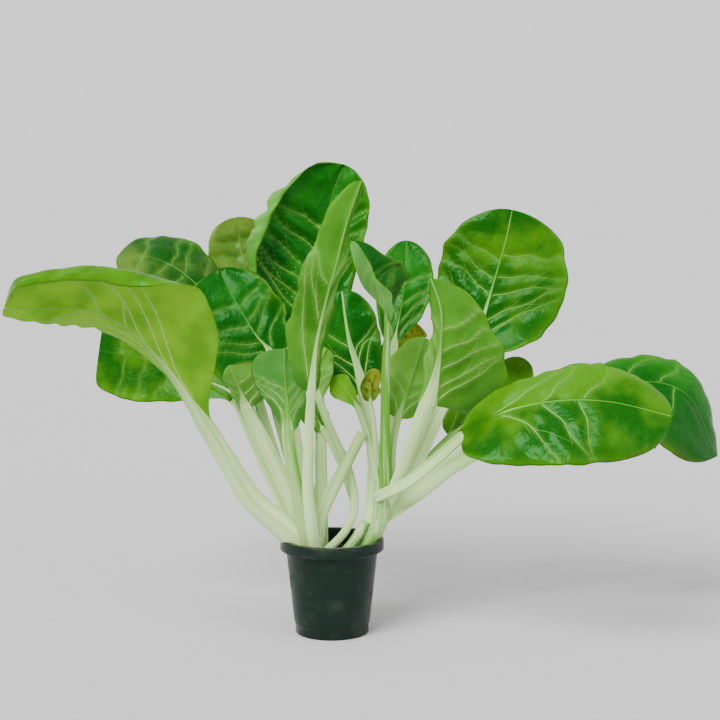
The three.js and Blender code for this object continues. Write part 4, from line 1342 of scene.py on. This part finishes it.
def leaf_material(name, tone, colours, glossy):
    """One face of a blade, its pale rib and the flesh of the stalk that runs into it."""
    material, tree, shader, spot = new_material(name)
    wide, fine = net(tree, spot, WIDE_NET), net(tree, spot, FINE_NET)
    uneven = ramped(tree, blotches(tree, spot, 32.0), 0.3, 0.7, -UNEVEN, UNEVEN)
    blade = blade_colour(tree, spot, tone, colours, glossy, wide, fine, uneven)
    flesh, fibres = flesh_colour(tree, colours)
    is_flesh = ramped(tree, point_value(tree, "from_rib"), -0.0002, 0.0004, 1.0, 0.0)

    low, high = (0.24, 0.38) if glossy else (0.42, 0.58)
    pillows = ramped(tree, wide, 0.0, 0.3)
    skin = total(tree, pillows, product(tree, ramped(tree, fine, 0.0, 0.3), 0.06))
    if not glossy:
        skin = product(tree, skin, -0.3)
    skin = product(tree, skin, math_node(tree, "SUBTRACT", 1.0, is_flesh))
    grooves = product(tree, product(tree, fibres, is_flesh), 0.9)
    set_inputs(
        tree, shader,
        Base_Color=mixed(tree, is_flesh, blade, flesh),
        Roughness=ramped(tree, uneven, -UNEVEN, UNEVEN, low, high),
        Normal=bumped(tree, total(tree, skin, grooves), 0.25, 0.0004),
        Subsurface_Weight=0.06,
        Subsurface_Radius=(0.4, 1.0, 0.15),
        Subsurface_Scale=0.0015,
        Specular_IOR_Level=0.2 if glossy else 0.12,
        Specular_Tint=(*colours.gloss, 1),
    )
    return material


def vein_material(name, pale, green):
    """Side veins, greener where they are thin."""
    material, tree, shader, spot = new_material(name)
    thin = ramped(tree, point_value(tree, "vein_radius"), 0.0001, 0.0004, 0.6, 0.0)
    set_inputs(
        tree, shader,
        Base_Color=mixed(tree, thin, pale, green),
        Roughness=ramped(tree, blotches(tree, spot, 90.0), 0.3, 0.7, 0.4, 0.55),
        Specular_IOR_Level=0.3,
    )
    return material


def flesh_material(name, colours, green):
    """Pale stem flesh with soft streaks that run up the stem. green is the least green share."""
    material, tree, shader, spot = new_material(name)
    fibres = streaks(tree, spot, (420, 420, 26), 3.0)
    clouds = ramped(tree, blotches(tree, spot, 45.0), 0.4, 0.7, green, green + 0.4)
    colour = mixed(tree, clouds, colours.stalk, colours.stalk_shade)
    colour = covered(tree, colour, colours.streak, ramped(tree, fibres, 0.45, 0.7), 0.45)
    set_inputs(
        tree, shader,
        Base_Color=colour,
        Roughness=ramped(tree, fibres, 0.3, 0.7, 0.36, 0.5),
        Normal=bumped(tree, fibres, 0.35, 0.0003),
        Subsurface_Weight=0.1,
        Subsurface_Radius=(0.6, 1.0, 0.3),
        Subsurface_Scale=0.002,
    )
    return material


def plastic_material(name, pot):
    """Dark pot plastic with faint moulding grain and dried mix in patches."""
    material, tree, shader, spot = new_material(name)
    dusty = product(tree, ramped(tree, blotches(tree, spot, 70.0, 6.0, 0.6), 0.48, 0.72), 0.55)
    rings = streaks(tree, spot, (8, 8, 900))
    set_inputs(
        tree, shader,
        Base_Color=mixed(tree, dusty, pot.plastic, pot.dust),
        Roughness=ramped(tree, dusty, 0.0, 0.5, 0.28, 0.6),
        Normal=bumped(tree, rings, 0.12, 0.0003),
        Specular_IOR_Level=0.2,
    )
    return material


def mix_material(name, pot):
    """Moist potting mix, nearly black, with paler dry bits."""
    material, tree, shader, spot = new_material(name)
    lumps = blotches(tree, spot, 320.0, 6.0, 0.65)
    dry = ramped(tree, blotches(tree, spot, 900.0), 0.56, 0.66)
    set_inputs(
        tree, shader,
        Base_Color=covered(tree, pot.mix, pot.fibre, dry, 0.6),
        Roughness=ramped(tree, lumps, 0.3, 0.7, 0.55, 0.95),
        Normal=bumped(tree, lumps, 0.9, 0.001),
    )
    return material


def crumb_material(name, pot):
    """Crumbs of the mix, each patch of them its own brown."""
    material, tree, shader, spot = new_material(name)
    kinds = ramped(tree, blotches(tree, spot, 700.0, 1.0), 0.5, 0.72)
    set_inputs(
        tree, shader,
        Base_Color=mixed(tree, kinds, pot.mix, pot.fibre),
        Roughness=0.85,
        Normal=bumped(tree, blotches(tree, spot, 2200.0, 4.0), 0.6, 0.0004),
    )
    return material


def root_material(name, pot):
    """Brown root skin, paler in patches."""
    material, tree, shader, spot = new_material(name)
    patches = ramped(tree, blotches(tree, spot, 260.0), 0.35, 0.65)
    set_inputs(
        tree, shader, Base_Color=mixed(tree, patches, pot.fibre, pot.root), Roughness=0.7,
    )
    return material


def floor_material(name, stage):
    """A pale floor with the faintest unevenness."""
    material, tree, shader, spot = new_material(name)
    darker = [0.97 * part for part in stage.floor]
    set_inputs(
        tree, shader,
        Base_Color=mixed(tree, blotches(tree, spot, 3.0), stage.floor, darker),
        Roughness=0.9,
        Specular_IOR_Level=0.0,
    )
    return material


def material_once(name, make, *given):
    """The material of that name, made the first time that it is asked for."""
    return bpy.data.materials.get(name) or make(name, *given)


# ---- round pieces -------------------------------------------------------------------------------


def new_object(name, points, faces, material, smooth_faces=True):
    """A mesh object from points in millimetres."""
    mesh = bpy.data.meshes.new(name)
    mesh.from_pydata([tuple(c * MM for c in point) for point in points], [], faces)
    mesh.polygons.foreach_set("use_smooth", [smooth_faces] * len(faces))
    mesh.materials.append(material)
    made = bpy.data.objects.new(name, mesh)
    bpy.context.scene.collection.objects.link(made)
    return made


def circle(sides):
    """The angles of a round piece's sides."""
    return np.arange(sides) * math.tau / sides


def ring_faces(rings, around):
    """Quads between rings of points, each ring with the same number of points."""
    faces = []
    for k in range(rings - 1):
        for j in range(around):
            after = (j + 1) % around
            low, high = k * around, (k + 1) * around
            faces.append((low + j, low + after, high + after, high + j))
    return faces


def turned(name, profile, sides, material, centre=(0, 0), lift=None):
    """A closed round body. profile goes from the axis below to the axis above.

    lift gives how far a point is raised, from its place and its height.
    """
    points = []
    for radius, height in profile[1:-1]:
        for angle in circle(sides):
            x, y = radius * math.cos(angle), radius * math.sin(angle)
            raised = lift(x, y, height) if lift else 0
            points.append((centre[0] + x, centre[1] + y, height + raised))
    rings = len(profile) - 2
    faces = ring_faces(rings, sides)
    bottom, top = len(points), len(points) + 1
    points += [(*centre, profile[end][1]) for end in (0, -1)]
    last = (rings - 1) * sides
    for j in range(sides):
        after = (j + 1) % sides
        faces += [(bottom, after, j), (top, last + j, last + after)]
    return new_object(name, points, faces, material)


def stem_body(name, path, radii, material, sides=40, rows=70, ribs=7, rough=1.0):
    """A ribbed stem along a smooth line, closed at both ends. rough scales its unevenness."""
    centre, along = line_through(path, np.linspace(0, 1, rows))
    right = unit(np.cross(along, (0.0, -1.0, 0.0)))
    front = np.cross(right, along)
    points = []
    for k, (middle, across, ahead) in enumerate(zip(centre, right, front)):
        share = k / (rows - 1)
        for angle in circle(sides):
            x, y = math.cos(angle), math.sin(angle)
            rib = STEM_RIB * math.cos(ribs * angle + 2 * share)
            lump = STEM_LUMP * noise.noise(Vector((3 * share, x, y)))
            reach = lerp(*radii, share) + rough * (rib + lump)
            points.append(middle + reach * (x * across + y * ahead))
    faces = ring_faces(rows, sides)
    faces.append(tuple(range(sides))[::-1])
    faces.append(tuple(range((rows - 1) * sides, rows * sides)))
    return new_object(name, points, faces, material)


def arc(centre, radius, start, end, steps=5):
    """Points of a round corner in a profile, between two angles in degrees."""
    turns = np.radians(np.linspace(start, end, steps))
    return [
        (centre[0] + radius * math.cos(turn), centre[1] + radius * math.sin(turn))
        for turn in turns
    ]


def pot_radius(height):
    return lerp(POT_BASE_RADIUS, POT_TOP_RADIUS, height / POT_HEIGHT)


def inner_radius(height):
    return pot_radius(height) - POT_WALL


def pot_profile(rounding):
    """The pot's wall, from under its floor round the rim and back to the floor inside."""
    low = POT_HEIGHT - RIM_DEPTH
    inside = inner_radius(POT_HEIGHT)
    hollow = POT_BASE_RADIUS - FOOT_RING
    foot = POT_BASE_RADIUS - FOOT_ROUND
    return [
        (0, FOOT_HOLLOW),
        (hollow - FOOT_SLOPE, FOOT_HOLLOW),
        (hollow, 0),
        (foot, 0),
        *arc((foot, FOOT_ROUND), FOOT_ROUND, -80, -5),
        (pot_radius(STEP_HEIGHT) - STEP_DEPTH, STEP_HEIGHT),
        (pot_radius(STEP_HEIGHT) - 0.1, STEP_HEIGHT + 0.6),
        (pot_radius(STEP_HEIGHT + 1), STEP_HEIGHT + 1.2),
        *[(pot_radius(height), height) for height in np.linspace(14, low - 1.5, 8)],
        (pot_radius(low) + 0.3, low - 0.2),
        (RIM_RADIUS - rounding, low),
        *arc((RIM_RADIUS - rounding, low + rounding), rounding, -70, 0),
        *arc((RIM_RADIUS - rounding, POT_HEIGHT - rounding), rounding, 0, 90),
        *arc((inside + rounding, POT_HEIGHT - rounding), rounding, 90, 180),
        *[(inner_radius(height), height) for height in np.linspace(low, POT_FLOOR + 1, 6)],
        (inner_radius(POT_FLOOR) - 1, POT_FLOOR),
        (0, POT_FLOOR),
    ]


def mound_profile(rings):
    """The mix's top, from the pot's wall up to the middle of its low mound."""
    edge = inner_radius(MIX_TOP) - MIX_GAP
    shares = np.arange(rings + 1) / rings
    return [
        (edge * (1 - share), MIX_TOP + MIX_MOUND * smooth(share * MOUND_RISE))
        for share in shares
    ]


def mix_profile():
    """The whole of the mix, from its hidden underside on the pot's floor."""
    floor = POT_FLOOR + 0.1
    sides = [(inner_radius(h) - MIX_GAP, h) for h in np.linspace(6, MIX_TOP - 2, 6)]
    return [(0, floor), (inner_radius(POT_FLOOR) - 1.2, floor), *sides, *mound_profile(MIX_RINGS)]


def clods(x, y, height):
    """How far the mix's top is lifted into clods. Its sides are left alone."""
    if height < MIX_TOP - 0.5:
        return 0
    return sum(size * noise.noise(Vector((x * rate, y * rate, seed))) for size, rate, seed in CLODS)


def root_paths(seed):
    """Thin roots that wander over the mix from both crowns and dive into it."""
    draw = np.random.default_rng(seed)
    paths = []
    for k in range(ROOTS):
        x, y = LEFT_CROWN_AT if k % 2 else RIGHT_STEM_PATH[1][:2]
        heading = draw.uniform(0, math.tau)
        path = []
        for height in ROOT_HEIGHTS:
            path.append((x, y, MIX_TOP + height + draw.uniform(-ROOT_JITTER, ROOT_JITTER)))
            heading += draw.uniform(-ROOT_TURN, ROOT_TURN)
            step = draw.uniform(*ROOT_STEPS)
            x, y = x + step * math.cos(heading), y + step * math.sin(heading)
            inward = min(1, (inner_radius(MIX_TOP) - ROOT_MARGIN) / math.hypot(x, y))
            x, y = x * inward, y * inward
        paths.append(path)
    return paths


# ---- the stage ----------------------------------------------------------------------------------

FLOOR_SIDES = 64
# The ways that the main and the side light shine.
KEY_WAY = (0.55, 0.8, -0.9)
FILL_WAY = (-0.9, 0.7, -0.5)


def build_floor(stage):
    radius = stage.floor_radius / MM
    points = [(radius * math.cos(a), radius * math.sin(a), 0) for a in circle(FLOOR_SIDES)]
    paint = material_once("floor_paint", floor_material, stage)
    floor = new_object("floor", points, [tuple(range(FLOOR_SIDES))], paint, False)


def soft_sun(scene, name, strength, spread, way):
    """Wide, even light from one side. way is the way that it shines."""
    lamp = bpy.data.lights.new(name, "SUN")
    lamp.energy = strength
    lamp.angle = spread
    holder = bpy.data.objects.new(name, lamp)
    holder.location = -2 * Vector(way)
    holder.rotation_euler = Vector(way).to_track_quat("-Z", "Y").to_euler()
    scene.collection.objects.link(holder)


def build_lights(scene, stage):
    sky = bpy.data.worlds.new("even_light")
    sky.use_nodes = True
    background = sky.node_tree.nodes["Background"]
    set_inputs(sky.node_tree, background, Color=(1, 1, 1, 1), Strength=stage.sky)
    scene.world = sky
    soft_sun(scene, "key_light", stage.key, stage.spread, KEY_WAY)
    soft_sun(scene, "fill_light", stage.fill, stage.spread, FILL_WAY)


def build_camera(scene, stage):
    lens = bpy.data.cameras.new("camera")
    lens.lens = stage.lens
    lens.sensor_width = 36
    lens.clip_start = 0.05
    lens.clip_end = 60
    camera = bpy.data.objects.new("camera", lens)
    camera.location = stage.camera_at
    camera.rotation_euler = (math.pi / 2 - stage.camera_pitch, 0, 0)
    scene.collection.objects.link(camera)
    scene.camera = camera


# ---- operators ----------------------------------------------------------------------------------

LEFT_LEAVES = (
    "leaf_far_left", "leaf_low_left", "leaf_left_under", "leaf_left_dark", "leaf_front_small",
    "leaf_tall_front", "leaf_tall_back", "leaf_back_olive", "leaf_back_left",
)
RIGHT_LEAVES = (
    "leaf_right_under", "leaf_round_right", "leaf_drooping", "leaf_far_right", "leaf_right_inner",
)
INNER_LEAVES = (
    "leaf_fan", "leaf_folded", "leaf_upright_dark", "leaf_pale_inner", "leaf_yellow_old",
    "leaf_yellow_small", "leaf_pale_middle", "leaf_olive_inner", "leaf_low_middle",
)


def settle(piece, node):
    """Puts a finished piece in the place of its node."""
    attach(piece, BODY)
    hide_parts(node)


def leaf_materials(look, colours):
    """The materials of a leaf's upper face, its under face and its veins."""
    faces = [
        material_once(f"{side}_{look[side]}", leaf_material, look[side], colours, side == "upper")
        for side in ("upper", "under")
    ]
    if look["shows"] == "under":
        veins = material_once("vein", vein_material, colours.vein, colours.pale)
    else:
        veins = material_once("vein_dark", vein_material, colours.vein_dark, colours.mid)
    return [*faces, veins]


def build_leaves(names, forms, settings):
    """Builds leaves or cut stalks, each in the place of its node."""
    for name in names:
        leaf = {**PLAIN_LEAF, **forms[name]}
        look = {**PLAIN_LOOK, **LOOKS.get(name, {})}
        materials = leaf_materials(look, settings.leaf_colours)
        piece = LeafMesh(name, leaf, look, settings.leaves).build("grown_" + name, materials)
        if "rib" in leaf:
            run_tree(piece, bpy.data.node_groups.get("Vein Ridges") or vein_tree(), {
                "Sides": settings.leaves.vein_sides,
                "Thickness": 1.0,
                "Material": materials[-1],
            })
        settle(piece, name)


class BuildLeftLeaves(Operator):
    """Builds the leaves of the left crown"""

    bl_idname = "bok_choy.left_leaves"
    bl_label = "Left Leaves"

    def execute(self, context):
        build_leaves(LEFT_LEAVES, LEAVES, context.scene.bok_choy)
        return {"FINISHED"}


class BuildRightLeaves(Operator):
    """Builds the outer leaves of the right crown"""

    bl_idname = "bok_choy.right_leaves"
    bl_label = "Right Leaves"

    def execute(self, context):
        build_leaves(RIGHT_LEAVES, LEAVES, context.scene.bok_choy)
        return {"FINISHED"}


class BuildInnerLeaves(Operator):
    """Builds the small inner leaves, the old yellow ones among them"""

    bl_idname = "bok_choy.inner_leaves"
    bl_label = "Inner Leaves"

    def execute(self, context):
        build_leaves(INNER_LEAVES, LEAVES, context.scene.bok_choy)
        return {"FINISHED"}


class BuildCutStalks(Operator):
    """Builds the two stumps of picked leaves"""

    bl_idname = "bok_choy.cut_stalks"
    bl_label = "Cut Stalks"

    def execute(self, context):
        build_leaves(CUT_STALKS, CUT_STALKS, context.scene.bok_choy)
        return {"FINISHED"}


class BuildCrowns(Operator):
    """Builds the left crown and the right stem, which the stalks grow from"""

    bl_idname = "bok_choy.crowns"
    bl_label = "Crowns"

    def execute(self, context):
        colours = context.scene.bok_choy.leaf_colours
        green = material_once("stem_green", flesh_material, colours, 0.6)
        flesh = material_once("crown_flesh", flesh_material, colours, 0.0)
        stem = stem_body("grown_stem_right", RIGHT_STEM_PATH, RIGHT_STEM_RADII, green)
        settle(stem, "stem_right")
        spur = stem_body(
            "grown_stem_spur", SPUR_PATH, SPUR_RADII, green, sides=20, rows=24, ribs=5,
        )
        settle(spur, "stem_right")
        shares = np.linspace(0, 1, CROWN_RINGS)
        line, _ = line_through([(r, 0, z) for r, z in LEFT_CROWN_PROFILE], shares)
        profile = [(max(radius, 0), height) for radius, _, height in line]
        crown = turned("grown_crown_left", profile, CROWN_SIDES, flesh, LEFT_CROWN_AT)
        settle(crown, "crown_left")
        return {"FINISHED"}


class BuildPottingMix(Operator):
    """Builds the potting mix with its clods, crumbs and roots"""

    bl_idname = "bok_choy.potting_mix"
    bl_label = "Potting Mix"

    def execute(self, context):
        pot = context.scene.bok_choy.pot
        surface = material_once("mix_surface", mix_material, pot)
        body = turned("mix_body", mix_profile(), MIX_SIDES, surface, lift=clods)
        bed = mound_profile(CRUMB_BED_RINGS)
        crumbs = turned("mix_crumbs", bed, CRUMB_BED_SIDES, surface, lift=clods)
        run_tree(crumbs, bpy.data.node_groups.get("Strewn Crumbs") or crumb_tree(), {
            "Density": pot.crumbs,
            "Smallest": SMALLEST_CRUMB,
            "Largest": LARGEST_CRUMB,
            "Seed": pot.seed,
            "Material": material_once("mix_crumbs", crumb_material, pot),
        })
        settle(body, "potting_mix")
        settle(crumbs, "potting_mix")
        bark = material_once("root_bark", root_material, pot)
        radii = (ROOT_RADIUS, ROOT_RADIUS * 0.5)
        for k, path in enumerate(root_paths(pot.seed)):
            root = stem_body(
                f"mix_root_{k + 1}", path, radii, bark, sides=8, rows=24, ribs=0, rough=0.3,
            )
            settle(root, "potting_mix")
        return {"FINISHED"}


class BuildPot(Operator):
    """Builds the round nursery pot"""

    bl_idname = "bok_choy.pot"
    bl_label = "Pot"

    def execute(self, context):
        pot = context.scene.bok_choy.pot
        plastic = material_once("pot_plastic", plastic_material, pot)
        body = turned("nursery_pot", pot_profile(pot.rounding / MM), pot.sides, plastic)
        settle(body, "pot")
        return {"FINISHED"}


class BuildStage(Operator):
    """Builds the floor, the lights and the camera"""

    bl_idname = "bok_choy.stage"
    bl_label = "Stage"

    def execute(self, context):
        stage = context.scene.bok_choy.stage
        build_floor(stage)
        build_lights(context.scene, stage)
        build_camera(context.scene, stage)
        return {"FINISHED"}


# ---- panel and registration ---------------------------------------------------------------------


class BokChoySettings(PropertyGroup):
    """Everything that a user may change."""

    leaves: PointerProperty(type=LeafSettings, name="Leaves", description="Sizes of the leaves")
    leaf_colours: PointerProperty(
        type=LeafColours, name="Leaf colours", description="Tones of the leaves and stalks",
    )
    pot: PointerProperty(type=PotSettings, name="Pot", description="Pot and potting mix")
    stage: PointerProperty(type=StageSettings, name="Stage", description="Floor, lights and camera")


BUILDERS = (
    BuildLeftLeaves, BuildRightLeaves, BuildInnerLeaves, BuildCutStalks, BuildCrowns,
    BuildPottingMix, BuildPot, BuildStage,
)


class BokChoyPanel(Panel):
    """Lists the builders and the settings"""

    bl_idname = "VIEW3D_PT_bok_choy"
    bl_label = "Bok Choy"
    bl_space_type = "VIEW_3D"
    bl_region_type = "UI"
    bl_category = "Bok Choy"

    def draw(self, context):
        for builder in BUILDERS:
            self.layout.operator(builder.bl_idname)
        settings = context.scene.bok_choy
        for group in (settings.leaves, settings.leaf_colours, settings.pot, settings.stage):
            box = self.layout.box()
            for label in group.__annotations__:
                box.prop(group, label)


CLASSES = (
    LeafSettings, LeafColours, PotSettings, StageSettings, BokChoySettings, *BUILDERS, BokChoyPanel,
)


def register():
    for made in CLASSES:
        bpy.utils.register_class(made)
    bpy.types.Scene.bok_choy = PointerProperty(type=BokChoySettings)


def unregister():
    del bpy.types.Scene.bok_choy
    for made in reversed(CLASSES):
        bpy.utils.unregister_class(made)


def write_sizes():
    """Brings the placements of the built pieces up to date."""
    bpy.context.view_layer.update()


def main():
    register()
    for builder in BUILDERS:
        group, name = builder.bl_idname.split(".")
        getattr(getattr(bpy.ops, group), name)()
    write_sizes()


if __name__ == "__main__":
    main()
